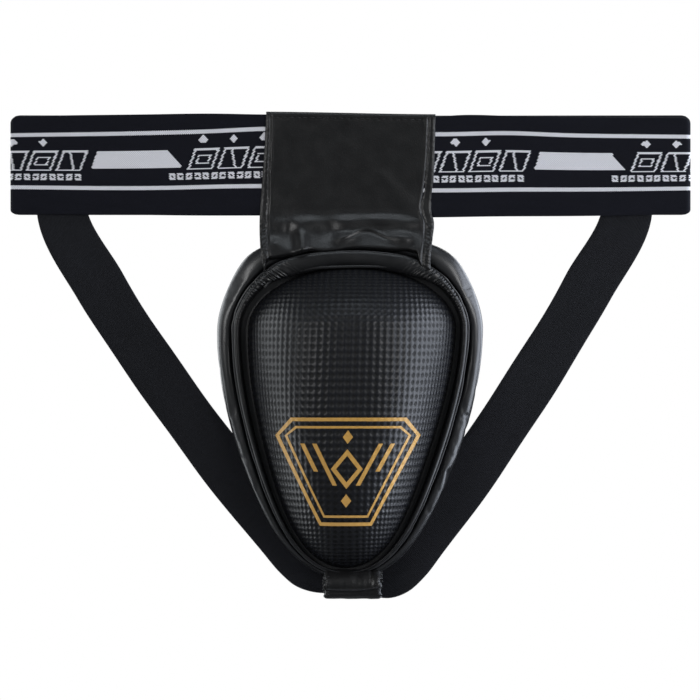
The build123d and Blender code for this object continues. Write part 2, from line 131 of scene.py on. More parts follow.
def through(pairs, value):
    """A smooth curve through given (place, height) pairs, by cosine steps."""
    places = np.array([p[0] for p in pairs], float)
    heights = np.array([p[1] for p in pairs], float)
    value = np.asarray(value, float)
    if places[0] > places[-1]:
        places, heights = places[::-1], heights[::-1]
    slopes = np.gradient(heights, places)
    i = np.clip(np.searchsorted(places, value) - 1, 0, len(places) - 2)
    span = places[i + 1] - places[i]
    t = np.clip((value - places[i]) / span, 0, 1)
    a, b = heights[i], heights[i + 1]
    ma, mb = slopes[i] * span, slopes[i + 1] * span
    return (
        (2 * t**3 - 3 * t**2 + 1) * a
        + (t**3 - 2 * t**2 + t) * ma
        + (3 * t**2 - 2 * t**3) * b
        + (t**3 - t**2) * mb
    )


def ripple(u, v, wavelength, seed):
    """Smooth uneven waves of about unit height, the same on each run."""
    picks = np.random.default_rng(seed)
    total = 0
    for _ in range(7):
        turn = picks.uniform(0, 2 * pi)
        size = wavelength * picks.uniform(0.7, 1.6)
        phase = picks.uniform(0, 2 * pi)
        total = total + np.sin((u * cos(turn) + v * sin(turn)) * 2 * pi / size + phase)
    return total / 3.2


def bump_at(x, z, place, size, turn=0.0):
    """A soft round bump of height 1 at a place, stretched to a size and turned in degrees."""
    c, s = cos(radians(turn)), sin(radians(turn))
    dx, dz = x - place[0], z - place[1]
    along, across = dx * c + dz * s, -dx * s + dz * c
    return np.exp(-((along / size[0]) ** 2) - (across / size[1]) ** 2)


def ridge(value, place, size, power=2):
    """A soft ridge of height 1 at a place, stretched to a size."""
    return np.exp(-(((value - place) / size) ** power))


def distances(points):
    """How far along a line of points each of them lies."""
    return np.concatenate([[0], np.cumsum(np.linalg.norm(np.diff(points, axis=0), axis=1))])


def full_turn(count):
    return np.linspace(0, 2 * pi, count, endpoint=False)


def wrapped(values):
    """A grid of values with its first column repeated at the end."""
    return np.concatenate([values, values[:, :1]], 1)


# ---------------------------------------------------------------- mesh helpers
def add_object(name, data):
    obj = bpy.data.objects.new(name, data)
    bpy.context.scene.collection.objects.link(obj)
    return obj


def belongs(obj, body, slot, *nodes, span=None):
    """Ties a piece to a body, or, given a span, only bakes its place in and ties it to no body; then hides
    the nodes it stands for. Its slot is not used.
    """
    if span is None:
        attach(obj, body)
    else:
        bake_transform(obj)
    if nodes:
        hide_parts(*nodes)
    return obj


def make_object(name, points, faces, uv, material, smooth_faces=True):
    """A mesh object from points in millimetres, faces, and per-corner UVs in millimetres."""
    mesh = bpy.data.meshes.new(name)
    mesh.from_pydata((np.asarray(points, float) * MM).tolist(), [], [list(map(int, f)) for f in faces])
    if uv is not None:
        layer = mesh.uv_layers.new(name="UVMap")
        layer.data.foreach_set("uv", np.asarray(uv, np.float32).ravel())
    mesh.polygons.foreach_set("use_smooth", [smooth_faces] * len(mesh.polygons))
    mesh.materials.append(material)
    mesh.update()
    return add_object(name, mesh)


def grid_object(name, points, u, v, material, closed_rows=False, closed_columns=False, flip=False):
    """A quad grid from points (rows, columns, 3). A closed direction needs one more row or column of UVs."""
    rows, columns = points.shape[:2]
    last_row = rows if closed_rows else rows - 1
    last_column = columns if closed_columns else columns - 1
    i, j = np.meshgrid(np.arange(last_row), np.arange(last_column), indexing="ij")
    i, j = i.ravel(), j.ravel()
    i2, j2 = i + 1, j + 1
    corners = [(i, j), (i, j2), (i2, j2), (i2, j)]
    if flip:
        corners = corners[::-1]
    faces = np.stack([(a % rows) * columns + b % columns for a, b in corners], 1)
    uv = np.stack([np.stack([u[a, b], v[a, b]], -1) for a, b in corners], 1)
    return make_object(name, points.reshape(-1, 3), faces, uv.reshape(-1, 2), material)


def ring_sheet(name, rows, material, slope=0.0, flip=False):
    """A sheet of closed rings, with its cloth laid flat in x and z, or down a slope in y."""
    points = np.array(rows)
    u, v = wrapped(points[..., 0]), wrapped(points[..., 2] + slope * points[..., 1])
    return grid_object(name, points, u, v, material, closed_columns=True, flip=flip)


def close_mesh(obj, *caps):
    """Closes open ends, each a run of point numbers, and turns all faces outwards."""
    edit = bmesh.new()
    edit.from_mesh(obj.data)
    edit.verts.ensure_lookup_table()
    for cap in caps:
        edit.faces.new([edit.verts[k] for k in cap])
    bmesh.ops.recalc_face_normals(edit, faces=edit.faces)
    edit.to_mesh(obj.data)
    edit.free()


def strip_section(flat, rounds, radius):
    """Section of a strip with round edges: share of its width, bulge of its edge, distance of its face."""
    side = np.linspace(-1, 1, flat)
    arc = np.linspace(-pi / 2, pi / 2, rounds + 2)[1:-1]
    across = np.concatenate([side, 1 + 0 * arc, side[::-1], -1 + 0 * arc])
    edge = np.concatenate([0 * side, np.cos(arc), 0 * side, -np.cos(arc)]) * radius
    face = np.concatenate([-1 + 0 * side, np.sin(arc), 1 + 0 * side, -np.sin(arc)]) * radius
    return across, edge, face


def strip_object(name, points, along, across, material):
    """A strip from the points of its sections, closed at both ends."""
    rows, columns = points.shape[:2]
    u = np.repeat(along[:, None], columns + 1, 1)
    obj = grid_object(name, points, u, wrapped(across), material, closed_columns=True)
    return obj, (range(columns), range(rows * columns - 1, (rows - 1) * columns - 1, -1))


def solidify(obj, thick, offset=-1.0):
    """Gives a sheet its thickness, behind its face or in front of it."""
    layer = obj.modifiers.new("thickness", "SOLIDIFY")
    layer.thickness = thick * MM
    layer.offset = offset
    layer.use_even_offset = False
    return obj


def tube(name, path, radius, material, slot, closed=False):
    """A round thread or seam edge along a path, as a mesh that rides on the cup."""
    path = np.asarray(path, float)
    curve = bpy.data.curves.new(name, "CURVE")
    curve.dimensions = "3D"
    curve.bevel_depth = radius * MM
    curve.bevel_resolution = 2
    curve.use_fill_caps = not closed
    spline = curve.splines.new("NURBS")
    spline.points.add(len(path) - 1)
    spline.points.foreach_set("co", np.concatenate([path * MM, np.ones((len(path), 1))], 1).ravel())
    spline.order_u = 3
    spline.use_cyclic_u = closed
    spline.use_endpoint_u = not closed
    spline.resolution_u = 4
    holder = add_object(name, curve)
    bpy.context.view_layer.update()
    graph = bpy.context.evaluated_depsgraph_get()
    mesh = bpy.data.meshes.new_from_object(holder.evaluated_get(graph), depsgraph=graph)
    bpy.data.objects.remove(holder)
    mesh.polygons.foreach_set("use_smooth", [True] * len(mesh.polygons))
    mesh.materials.clear()
    mesh.materials.append(material)
    return belongs(add_object(name, mesh), "cup", slot)


def stitches(name, places, directions, length, width, body, *nodes):
    """Many short threads: a rounded capsule at each place, along each direction, that sags a little."""
    rings, sides = 7, 6
    places = np.asarray(places, float)
    ahead = np.asarray(directions, float) + 0 * places
    ahead = ahead / np.linalg.norm(ahead, axis=1, keepdims=True)
    side = np.cross(ahead, [0.0, 1.0, 0.0])
    side = side / np.linalg.norm(side, axis=1, keepdims=True)
    up = np.cross(side, ahead)
    profile = np.linspace(-1, 1, rings)
    round_off = np.sqrt(1 - np.abs(profile) ** 3.5)
    round_off[[0, -1]] = 0.25
    around = full_turn(sides)[:, None]
    circle = side[:, None] * np.cos(around) + up[:, None] * np.sin(around)
    spine = places[:, None] + ahead[:, None] * (profile * length / 2)[:, None]
    spine[..., 1] -= 0.25 * width * (1 - profile**2)
    points = spine[:, :, None] + circle[:, None] * (round_off * width / 2)[:, None, None]
    number = np.arange(rings * sides).reshape(rings, sides)
    beside = np.roll(number, -1, 1)
    quads = np.stack([number[:-1], beside[:-1], beside[1:], number[1:]], -1).reshape(-1, 4)
    one = [*quads, number[0, ::-1], number[-1]]
    faces = [base * number.size + face for base in range(len(places)) for face in one]
    obj = make_object(name, points.reshape(-1, 3), faces, None, THREAD)
    return belongs(obj, body, "thread", *nodes)


# ---------------------------------------------------------------- shader writing
def math_method(operation, swapped=False):
    """A method of Num that adds a Math node."""

    def method(self, *others):
        return self.nodes.math(operation, *((*others, self) if swapped else (self, *others)))

    return method


class Num:
    """A number in a node tree, with arithmetic that adds Math nodes."""

    def __init__(self, nodes, socket):
        self.nodes = nodes
        self.socket = socket

    __add__ = __radd__ = math_method("ADD")
    __sub__ = math_method("SUBTRACT")
    __rsub__ = math_method("SUBTRACT", swapped=True)
    __mul__ = __rmul__ = math_method("MULTIPLY")
    __truediv__ = math_method("DIVIDE")
    abs = math_method("ABSOLUTE")
    floor = math_method("FLOOR")
    fract = math_method("FRACT")
    sin = math_method("SINE")
    below = math_method("LESS_THAN")
    above = math_method("GREATER_THAN")
    larger = math_method("MAXIMUM")
    smaller = math_method("MINIMUM")
    power = math_method("POWER")

    def ramp(self, low, high, start=0.0, end=1.0):
        """A clamped straight ramp from start at low to end at high."""
        node = self.nodes.add("ShaderNodeMapRange")
        self.nodes.put(self, node.inputs["Value"])
        for name, value in (("From Min", low), ("From Max", high), ("To Min", start), ("To Max", end)):
            node.inputs[name].default_value = value
        return Num(self.nodes, node.outputs["Result"])


class Paint:
    """One material: a Principled shader and the nodes that feed it."""

    def __init__(self, name, roughness=0.5, **constants):
        self.material = bpy.data.materials.new(name)
        self.material.use_nodes = True
        self.tree = self.material.node_tree
        self.tree.nodes.clear()
        self.link = self.tree.links.new
        out = self.add("ShaderNodeOutputMaterial")
        self.shader = self.add("ShaderNodeBsdfPrincipled")
        self.link(self.shader.outputs[0], out.inputs[0])
        self.shader.inputs["Roughness"].default_value = roughness
        for key, value in constants.items():
            self.shader.inputs[key.replace("_", " ")].default_value = value
        self.coordinates = None

    def add(self, kind):
        return self.tree.nodes.new(kind)

    def put(self, value, socket):
        """Links a number or an output to a socket, or writes a plain value or colour into it."""
        if isinstance(value, Num):
            self.link(value.socket, socket)
        elif isinstance(value, bpy.types.NodeSocket):
            self.link(value, socket)
        else:
            socket.default_value = (*value, 1.0) if isinstance(value, tuple) else value

    def math(self, operation, *values):
        node = self.add("ShaderNodeMath")
        node.operation = operation
        for value, socket in zip(values, node.inputs):
            self.put(value, socket)
        return Num(self, node.outputs[0])

    def uv(self):
        """The mesh's own coordinates along and across, in millimetres."""
        if self.coordinates is None:
            source = self.add("ShaderNodeTexCoord")
            split = self.add("ShaderNodeSeparateXYZ")
            self.link(source.outputs["UV"], split.inputs[0])
            self.coordinates = (Num(self, split.outputs[0]), Num(self, split.outputs[1]))
        return self.coordinates

    def vector(self, *values):
        node = self.add("ShaderNodeCombineXYZ")
        for value, socket in zip(values, node.inputs):
            self.put(value, socket)
        return node.outputs[0]

    def noise(self, size, detail=2.0, stretch=(1.0, 1.0), offset=0.0):
        """Soft noise with features of a size in millimetres along the surface, from 0 to 1."""
        node = self.add("ShaderNodeTexNoise")
        node.inputs["Detail"].default_value = detail
        u, v = self.uv()
        place = self.vector(u / (size * stretch[0]), v / (size * stretch[1]), offset)
        self.link(place, node.inputs["Vector"])
        node.inputs["Scale"].default_value = 1.0
        return Num(self, node.outputs[0])

    def solid_noise(self, size, detail=2.0):
        """Soft noise with features of a size in millimetres through the piece, from 0 to 1."""
        node = self.add("ShaderNodeTexNoise")
        node.inputs["Detail"].default_value = detail
        source = self.add("ShaderNodeTexCoord")
        self.link(source.outputs["Object"], node.inputs["Vector"])
        node.inputs["Scale"].default_value = 1 / (size * MM)
        return Num(self, node.outputs[0])

    def cells(self, size):
        """Leather grain: distance to the nearest of scattered points a size apart, from 0 to about 1."""
        u, v = self.uv()
        node = self.add("ShaderNodeTexVoronoi")
        node.feature = "F1"
        node.inputs["Scale"].default_value = 1.0
        self.link(self.vector(u / size, v / size), node.inputs["Vector"])
        return Num(self, node.outputs["Distance"])

    def colour(self, first, second, share):
        """A mix of two colours by a share."""
        node = self.add("ShaderNodeMix")
        node.data_type = "RGBA"
        for value, socket in ((share, "Factor"), (first, "A"), (second, "B")):
            self.put(value, node.inputs[socket])
        return node.outputs["Result"]

    def base(self, colour):
        self.put(colour, self.shader.inputs["Base Color"])

    def rough(self, value):
        self.put(value, self.shader.inputs["Roughness"])

    def relief(self, height):
        """Surface relief from a height in millimetres."""
        node = self.add("ShaderNodeBump")
        node.inputs["Strength"].default_value = 1.0
        node.inputs["Distance"].default_value = MM
        self.put(height, node.inputs["Height"])
        self.link(node.outputs[0], self.shader.inputs["Normal"])


def scaled(shade, factor):
    return tuple(factor * c for c in shade)


def leather(name, shade, roughness, grain, dents=0.05, coat=0.0):
    """Smooth coated leather: fine grain, faint dents, uneven gloss."""
    paint = Paint(name, roughness, Coat_Weight=coat, Coat_Roughness=0.25)
    paint.base(paint.colour(scaled(shade, 0.82), scaled(shade, 1.25), paint.noise(26.0, 2.0, offset=4.0)))
    paint.rough(paint.noise(9.0, 3.0).ramp(0.3, 0.7, roughness - 0.05, roughness + 0.06))
    pores = paint.cells(0.7).ramp(0.0, 0.7)
    fine = paint.noise(0.35, 2.0, offset=2.0)
    paint.relief((pores + fine) * (grain * 0.6) + paint.noise(5.0, 3.0, offset=8.0) * dents)
    return paint.material


def elastic(name, shade):
    """Ribbed woven elastic: ribs along the strap and a fine weave across them."""
    paint = Paint(name, 0.78, Sheen_Weight=0.03, Sheen_Roughness=0.4, Specular_IOR_Level=0.18)
    rib, pick = 0.72, 0.55
    u, v = paint.uv()
    ribs = (v * (2 * pi / rib)).sin()
    picks = (u * (2 * pi / pick) + ribs * 1.2).sin()
    fuzz = paint.noise(0.5, 2.0)
    tone = paint.noise(14.0, 2.0, stretch=(3.0, 0.6))
    share = (ribs * 0.25 + 0.5) * 0.5 + tone * 0.5 + fuzz * 0.2
    paint.base(paint.colour(scaled(shade, 0.6), scaled(shade, 1.5), share))
    paint.rough(fuzz.ramp(0.3, 0.7, 0.66, 0.8))
    paint.relief(ribs * 0.07 + picks * 0.03 + fuzz * 0.05)
    return paint.material


WEAVE_PITCH = (3.55, 3.6)


def bias_weave(paint, depth):
    """Embossed plain weave laid on the bias: its height in millimetres, and how far each cell dips."""
    u, v = paint.uv()
    u, v = u / WEAVE_PITCH[0], v / WEAVE_PITCH[1]
    a, b = u + v, u - v
    fa, fb = (a.fract() - 0.5) * 2.0, (b.fract() - 0.5) * 2.0
    parity = ((a.floor() + b.floor()) * 0.5).fract().above(0.25)
    pillow = (1.0 - fa * fa) * (1.0 - fb * fb)
    dip = pillow * (1.0 - parity)
    return (pillow * parity * 0.4 - dip * 0.6) * depth, dip


def cup_leather():
    """Leather embossed with a fine woven look, satin, with its sunk cells painted darker as shade."""
    paint = Paint("cup_leather", 0.4, Specular_IOR_Level=0.4)
    weave, dip = bias_weave(paint, 0.42)
    pit_shade_and_roughness = dip.ramp(0.03, 0.45)
    tone = paint.noise(24.0, 2.0)
    # The sunk cells of the weave are painted near black: painted shade in the recesses. The same mask also
    # makes them rougher.
    paint.base(paint.colour((0.0078, 0.0084, 0.0108), (0.0014, 0.0015, 0.0019), tone * 0.2 + pit_shade_and_roughness * 0.8))
    paint.rough(pit_shade_and_roughness.ramp(0.0, 1.0, 0.37, 0.66))
    paint.relief(weave + paint.noise(0.5, 2.0) * 0.03)
    return paint.material


LINE_UPPER = 14.0
LINE_LOWER = -14.0
PERIOD = 112.6


def knit_band():
    """Navy-black knit with woven white lines, slanted bars, outlined slanted boxes, diamonds and dashes, each
    stitch painted darker towards its edges as shade between stitches.
    """
    paint = Paint("knit_band", 0.88, Sheen_Weight=0.02, Sheen_Roughness=0.5, Specular_IOR_Level=0.12)
    u, v = paint.uv()
    course, wale = 1.0, 0.56
    row = (v / wale).floor()
    shift = (row * 0.5).fract() * course
    column = ((u + shift) / course).floor()
    across = (u + shift) / course - column
    upward = v / wale - row
    knot_u = (column + 0.5) * course - shift
    knot_v = (row + 0.5) * wale
    tooth = ((u / 0.98).fract() - 0.5).abs() * 0.7 + 0.82
    lines = (v - LINE_UPPER).abs().below(tooth).larger((v - LINE_LOWER).abs().below(tooth))

    local = (knot_u / PERIOD).fract() * PERIOD
    low_edge = knot_v + 3.7
    bar = (local - low_edge * 0.35).above(0.0) * (local + low_edge * 0.78).below(46.0)
    bar = bar * (knot_v - 0.8).abs().below(4.45)

    cell, first_box, boxes_shown = 15.2, 49.5, 4
    boxes = local - knot_v * 0.36 - first_box
    index = (boxes / cell).floor()
    inside = boxes - index * cell - cell / 2
    height = (knot_v - 0.1).abs()
    edge = ((inside.abs() - 6.4) * 0.94).larger(height - 5.4)
    inner = ((inside.abs() - 3.4) * 0.94).larger(height - 2.4)
    small_box = inner.below(0.0) * inner.above(-0.8)
    stroke = (inside + knot_v * 0.55).abs().below(0.5) * height.below(5.0)
    odd = (index * 0.5).fract().above(0.25)
    outline = edge.below(0.0) * edge.above(-1.0)
    figures = outline.larger(small_box * (1.0 - odd) + stroke * odd)
    figures = figures * boxes.above(0.0) * boxes.below(cell * boxes_shown)

    for centre in (57.0, 72.5, 88.0):
        figures = figures.larger(((local - centre).abs() + (knot_v - 9.9).abs() * 1.15).below(2.5))

    beside = (((local - 39.0) / 4.3).fract() - 0.5).abs()
    above = (knot_v + 8.4).abs()
    dashes = beside.below(0.36) * above.below(1.7) - beside.below(0.14) * above.below(0.75)
    dashes = dashes * local.above(39.0) * local.below(108.0)

    ink = lines.larger(bar).larger(figures).larger(dashes)
    nap = paint.noise(0.9, 3.0)
    # Each stitch bulges, and the same round mask paints navy and thread darker towards the stitch edges:
    # painted shade in the gaps between stitches.
    stitch_bulge_and_shade = (1.0 - ((across - 0.5) * 2.0).abs().power(2.0)) * (1.0 - ((upward - 0.5) * 2.0).abs().power(2.0))
    tone = paint.noise(18.0, 2.0, stretch=(2.0, 0.5))
    navy = paint.colour((0.0042, 0.0046, 0.0078), (0.0102, 0.0108, 0.0162), stitch_bulge_and_shade * 0.6 + tone * 0.4)
    thread = paint.colour((0.46, 0.46, 0.50), (0.93, 0.93, 0.96), stitch_bulge_and_shade * 0.75 + nap * 0.25)
    paint.base(paint.colour(navy, thread, ink))
    paint.relief(stitch_bulge_and_shade * 0.08 + nap * 0.06 + ink * 0.05)
    return paint.material


def plain_knit(name, shade, pitch, depth):
    """Plain knitted or mesh cloth."""
    paint = Paint(name, 0.88, Sheen_Weight=0.15, Sheen_Roughness=0.5, Specular_IOR_Level=0.25)
    u, v = paint.uv()
    weave = (u * (2 * pi / pitch)).sin() * (v * (2 * pi / pitch)).sin()
    share = weave * 0.25 + paint.noise(16.0, 3.0) * 0.6 + 0.1
    paint.base(paint.colour(scaled(shade, 0.6), scaled(shade, 1.4), share))
    paint.relief(weave * depth + paint.noise(0.7, 2.0) * 0.06)
    return paint.material


def fuzzy(name, shade, size, depth, roughness=0.9):
    """Hook or loop pile: small scattered tufts."""
    paint = Paint(name, roughness, Sheen_Weight=0.2, Sheen_Roughness=0.4, Specular_IOR_Level=0.3)
    tufts = paint.cells(size)
    fine = paint.noise(size * 0.6, 3.0)
    paint.base(paint.colour(scaled(shade, 1.6), scaled(shade, 0.5), tufts.ramp(0.1, 0.8)))
    paint.relief((1.0 - tufts) * depth + fine * depth * 0.5)
    return paint.material


def gold():
    """Flat gold screen print with uneven tone and specks, embossed with the weave."""
    paint = Paint("gold_print", 0.42, Specular_IOR_Level=0.5)
    tone = paint.noise(3.0, 3.0)
    speck = paint.noise(0.6, 2.0, offset=3.0)
    paint.base(paint.colour((0.42, 0.215, 0.035), (0.60, 0.345, 0.08), tone * 0.6 + speck * 0.4))
    paint.rough(speck.ramp(0.3, 0.7, 0.36, 0.55))
    paint.relief(speck * 0.02 + bias_weave(paint, 0.22)[0])
    return paint.material


def thread_paint():
    """Waxed sewing thread with its twist."""
    paint = Paint("thread", 0.55, Specular_IOR_Level=0.4)
    twist = paint.solid_noise(0.3, 2.0)
    paint.base(paint.colour((0.006, 0.006, 0.007), (0.03, 0.03, 0.032), twist))
    paint.relief(twist * 0.08)
    return paint.material


def plastic():
    """Moulded hard plastic."""
    paint = Paint("shell_plastic", 0.4)
    tone = paint.solid_noise(6.0, 3.0)
    paint.base(paint.colour((0.012, 0.012, 0.013), (0.02, 0.02, 0.022), tone))
    paint.relief(tone * 0.02)
    return paint.material


KNIT = knit_band()
KNIT_BACK = plain_knit("knit_band_back", (0.010, 0.011, 0.016), 0.72, 0.08)
TAB = leather("tab_leather", (0.0065, 0.0065, 0.0068), 0.37, 0.06, dents=0.06, coat=0.12)
ROLL = leather("roll_leather", (0.006, 0.0062, 0.007), 0.38, 0.03, coat=0.15)
CUP = cup_leather()
# The outer roll gets its own copy of the roll leather, painted a little lighter because it stands in brighter
# light than the inner roll; its stronger coat is real gloss.
OUTER_ROLL_LIT_COPY = leather("outer_roll_leather_lit_copy", (0.0075, 0.008, 0.0092), 0.42, 0.03, coat=0.7)
# The seam edges' leather is painted about three times lighter than the other leathers: a painted highlight
# along the raised seams.
SEAM_HIGHLIGHT_LEATHER = leather("seam_leather_painted_highlight", (0.022, 0.0225, 0.024), 0.3, 0.02, dents=0.0)
ELASTIC = elastic("strap_elastic", (0.0085, 0.009, 0.0115))
LINING = plain_knit("lining", (0.022, 0.022, 0.025), 0.8, 0.09)
MESH_CLOTH = plain_knit("foam_cloth", (0.03, 0.03, 0.034), 1.7, 0.22)
GOLD = gold()
THREAD = thread_paint()
PLASTIC = plastic()
HOOK = fuzzy("hook", (0.012, 0.012, 0.013), 1.3, 0.5, 0.6)
LOOP = fuzzy("loop", (0.016, 0.016, 0.018), 0.9, 0.35)


# ---------------------------------------------------------------- waistband
def bow_y(x, side, offset=0.0):
    """Depth of the bowed front (side -1) or rear (side 1) half, at an outward offset."""
    radius = BOW_RADIUS + offset
    return side * (np.sqrt(radius**2 - np.asarray(x, float) ** 2) - BOW_CENTRE)


def bow_gap(x):
    """How far the bow brings the band back from its depth at the middle."""
    return bow_y(0, -1) - bow_y(x, -1)


TOP_EDGE = [
    (-172, 24.7), (-150, 25.1), (-105, 25.6), (-70, 26.0), (-48, 25.6), (0, 25.3),
    (44, 24.4), (55, 25.2), (85, 24.7), (130, 24.3), (172, 24.0),
]
BOTTOM_EDGE = [
    (-172, -25.2), (-120, -25.4), (-75, -25.9), (-46, -25.9), (44, -26.8),
    (70, -26.4), (125, -26.0), (172, -25.0),
]
LINE_UPPER_PLACE = [
    (-172, 15.1), (-106, 16.0), (-70, 17.0), (-46, 18.1), (46, 15.4), (80, 16.0), (110, 15.0), (172, 14.3),
]
LINE_LOWER_PLACE = [
    (-172, -11.4), (-106, -11.9), (-46, -10.9), (46, -13.1), (80, -12.7), (125, -12.6), (172, -12.0),
]
PATTERN_START = 131.8


def band_path(side, end_x):
    """Plan of one wing and its outward direction, from the front's middle round the fold to the rear end."""
    front = np.concatenate([np.linspace(0, 0.95, 76), np.linspace(0.955, 1, 22)]) * END_ANGLE
    turns = np.linspace(-pi / 2 + END_ANGLE, pi / 2 - END_ANGLE, 22)[1:-1]
    rear = np.linspace(END_ANGLE, asin(end_x * side / BOW_RADIUS), 90)
    angles = np.concatenate([front - pi / 2, turns, pi / 2 - rear])
    outward = np.stack([side * np.cos(angles), np.sin(angles)], -1)
    radius = np.repeat([BOW_RADIUS, FOLD_RADIUS, BOW_RADIUS], [len(front), len(turns), len(rear)])
    centre_x = np.repeat([0, side * FOLD_X, 0], [len(front), len(turns), len(rear)])
    centre_y = np.repeat([BOW_CENTRE, 0, -BOW_CENTRE], [len(front), len(turns), len(rear)])
    return np.stack([centre_x, centre_y], -1) + radius[:, None] * outward, outward


def band_wing(name, side, end_x, rear_body, *nodes):
    """One wing of the waistband as a knitted strip with soft edges, folded round its end."""
    plan, outward = band_path(side, end_x)
    along = side * distances(plan)
    faces, rounds = 26, 5
    half = BAND_THICK / 2
    across, edge, face = strip_section(faces, rounds, half)
    x = plan[:, 0]
    front = (1 - smooth(-1.0, 1.0, plan[:, 1]))[:, None]
    top = through(TOP_EDGE, x)[:, None] * front + BAND_HALF * (1 - front)
    bottom = through(BOTTOM_EDGE, x)[:, None] * front - BAND_HALF * (1 - front)
    middle, reach = (top + bottom) / 2, (top - bottom) / 2
    z = middle + across * (reach - half) + edge
    corner = 3.6
    near = np.clip(corner - (FOLD_X + FOLD_RADIUS - np.abs(x)), 0, corner)
    cut = (corner - np.sqrt(corner**2 - near**2))[:, None] * np.where(z > 0, 0.9, 0.5)
    z = z - np.sign(z) * cut * np.abs((z - middle) / reach) ** 3
    calm = 1 - ridge(np.abs(x), 172, 10)[:, None]
    offset = 0.16 * ripple(along[:, None], z * 0.6, 46.0, 11 + side) * calm - face
    points = np.concatenate([plan[:, None] + outward[:, None] * offset[..., None], z[..., None]], -1)
    upper = through(LINE_UPPER_PLACE, x)[:, None]
    lower = through(LINE_LOWER_PLACE, x)[:, None]
    pattern = LINE_LOWER + (z - lower) / (upper - lower) * (LINE_UPPER - LINE_LOWER)
    pattern = pattern * front + (z * 1.02 - 1.8) * (1 - front)
    obj, ends = strip_object(name, points, along + PATTERN_START, pattern, KNIT)
    obj.data.materials.append(KNIT_BACK)
    for polygon in obj.data.polygons:
        if faces + 2 <= polygon.index % len(across) < 2 * faces + 4:
            polygon.material_index = 1
    close_mesh(obj, *ends)
    print("band", name, "cut length mm", round(float(abs(along[-1])), 1))
    fold_x = side * 0.1735
    span = ((fold_x, -0.0012, 0), (fold_x, 0.0012, 0))
    return belongs(obj, ("belt", rear_body), "knit_band", *nodes, span=span)


band_left = band_wing(
    "waistband_left", -1, REAR_LEFT_END, "rear_left", "waistband_front", "waistband_rear_left",
)
band_right = band_wing("waistband_right", 1, REAR_RIGHT_START, "rear_right", "waistband_rear_right")


# ---------------------------------------------------------------- leather tab
TAB_LEFT = [(27, -42.8), (10, -43.6), (-12, -45.2), (-25, -46.1), (-38, -46.0), (-48, -45.0), (-56, -43.0)]
TAB_RIGHT = [
    (25, 43.2), (10, 42.9), (-12, 42.0), (-25, 41.3), (-28, 42.2), (-38, 41.6), (-46, 40.6), (-56, 40.6),
]
STRIP_LEFT = [(27, 2.6), (0, 3.2), (-20, 4.2), (-56, 4.0)]
STRIP_RIGHT = [(27, 3.7), (0, 4.2), (-20, 5.2), (-40, 4.4), (-56, 4.2)]
CREASE = [
    (-48, -57.5), (-44.0, -56.5), (-42.4, -55.0), (-41.2, -50.6), (-40.0, -49.4), (-35.8, -48.3),
    (-25.7, -46.4), (-19, -44.4), (-11.4, -45.2), (4.3, -43.4), (22.1, -44.2), (34.5, -45.2),
    (36.3, -46.0), (37.6, -51.0), (38.8, -53.6), (46, -54.0),
]
FRONT_PROFILE = [
    (27, 7.75), (0, 7.8), (-20, 7.9), (-24, 8.1), (-25, 8.4), (-26, 9.0), (-27, 9.7), (-28, 10.4),
    (-29, 10.9), (-30, 11.2), (-32, 11.5), (-33.5, 11.8), (-35, 12.3), (-36.5, 13.0), (-38, 13.8),
    (-40, 15.0), (-44, 17.3), (-50, 18.3), (-58, 18.6),
]
EDGE_PROFILE = [
    (27, 7.6), (0, 7.6), (-24, 7.8), (-30, 9.4), (-36, 12.2), (-42, 16.0), (-46, 17.6), (-52, 18.2),
]
# height, place x and z, size along and across, turn in degrees
TAB_BUMPS = [
    (-1.2, (-13.5, -28.5), (5.5, 4.0), 0),
    (1.9, (-3.0, -37.2), (6.2, 2.9), 10),
    (1.9, (26.5, -37.2), (6.0, 2.9), -4),
    (1.0, (-25.0, -37.0), (3.4, 4.2), 0),
    (0.9, (-38.5, -40.0), (2.6, 4.2), 70),
    (-1.0, (-31.5, -33.0), (3.0, 7.0), 0),
    (-0.7, (-10.0, -33.5), (3.6, 4.5), -18),
    (-0.6, (17.0, -32.0), (7.0, 2.4), 4),
    (0.30, (18.0, -8.0), (24.0, 3.4), -42),
]


def tab_sides(z):
    return through(TAB_LEFT, z), through(TAB_RIGHT, z)


def tab_x(z, share):
    """x at a share of the way from the tab's left side to its right."""
    left, right = tab_sides(z)
    return left + share * (right - left)


def tab_top(x):
    """The top edge of the tab drops a little towards the right."""
    return 0.55 - 1.3 * smooth(-46, 46, x)


def tab_relief(x, z):
    """Dents, folds and puckers of the tab's leather, outwards in millimetres."""
    low = smooth(-24.0, -30.0, z)
    relief = 0.10 * ripple(x, z, 30.0, 3) * (1 - low) + 0.28 * ripple(x, z * 0.7, 17.0, 5) * low
    relief = relief + 2.2 * smooth(-27.0, -44.0, z) * ridge(x, -24.5, 3.4)
    relief = relief + 0.45 * ripple(x, 0.2 * z, 24.0, 9) * ridge(z, -27.2, 2.2)
    for height, place, size, turn in TAB_BUMPS:
        relief = relief + height * bump_at(x, z, place, size, turn)
    pull = 0.5 + 0.5 * np.cos(x * 2 * pi / STITCH_PITCH)
    relief = relief - (0.10 + 0.22 * pull) * ridge(z, 23.3 + tab_top(x), 0.55)
    arch = -38.4 + 4.4 * ridge(x, 8.0, 8.5) - 0.035 * np.abs(x - 8.0)
    fold = 0.35 * ridge(z, arch + 1.3, 0.8) - 0.55 * ridge(z, arch, 0.55)
    return relief + fold * ridge(x, 8.0, 11.5, 4)


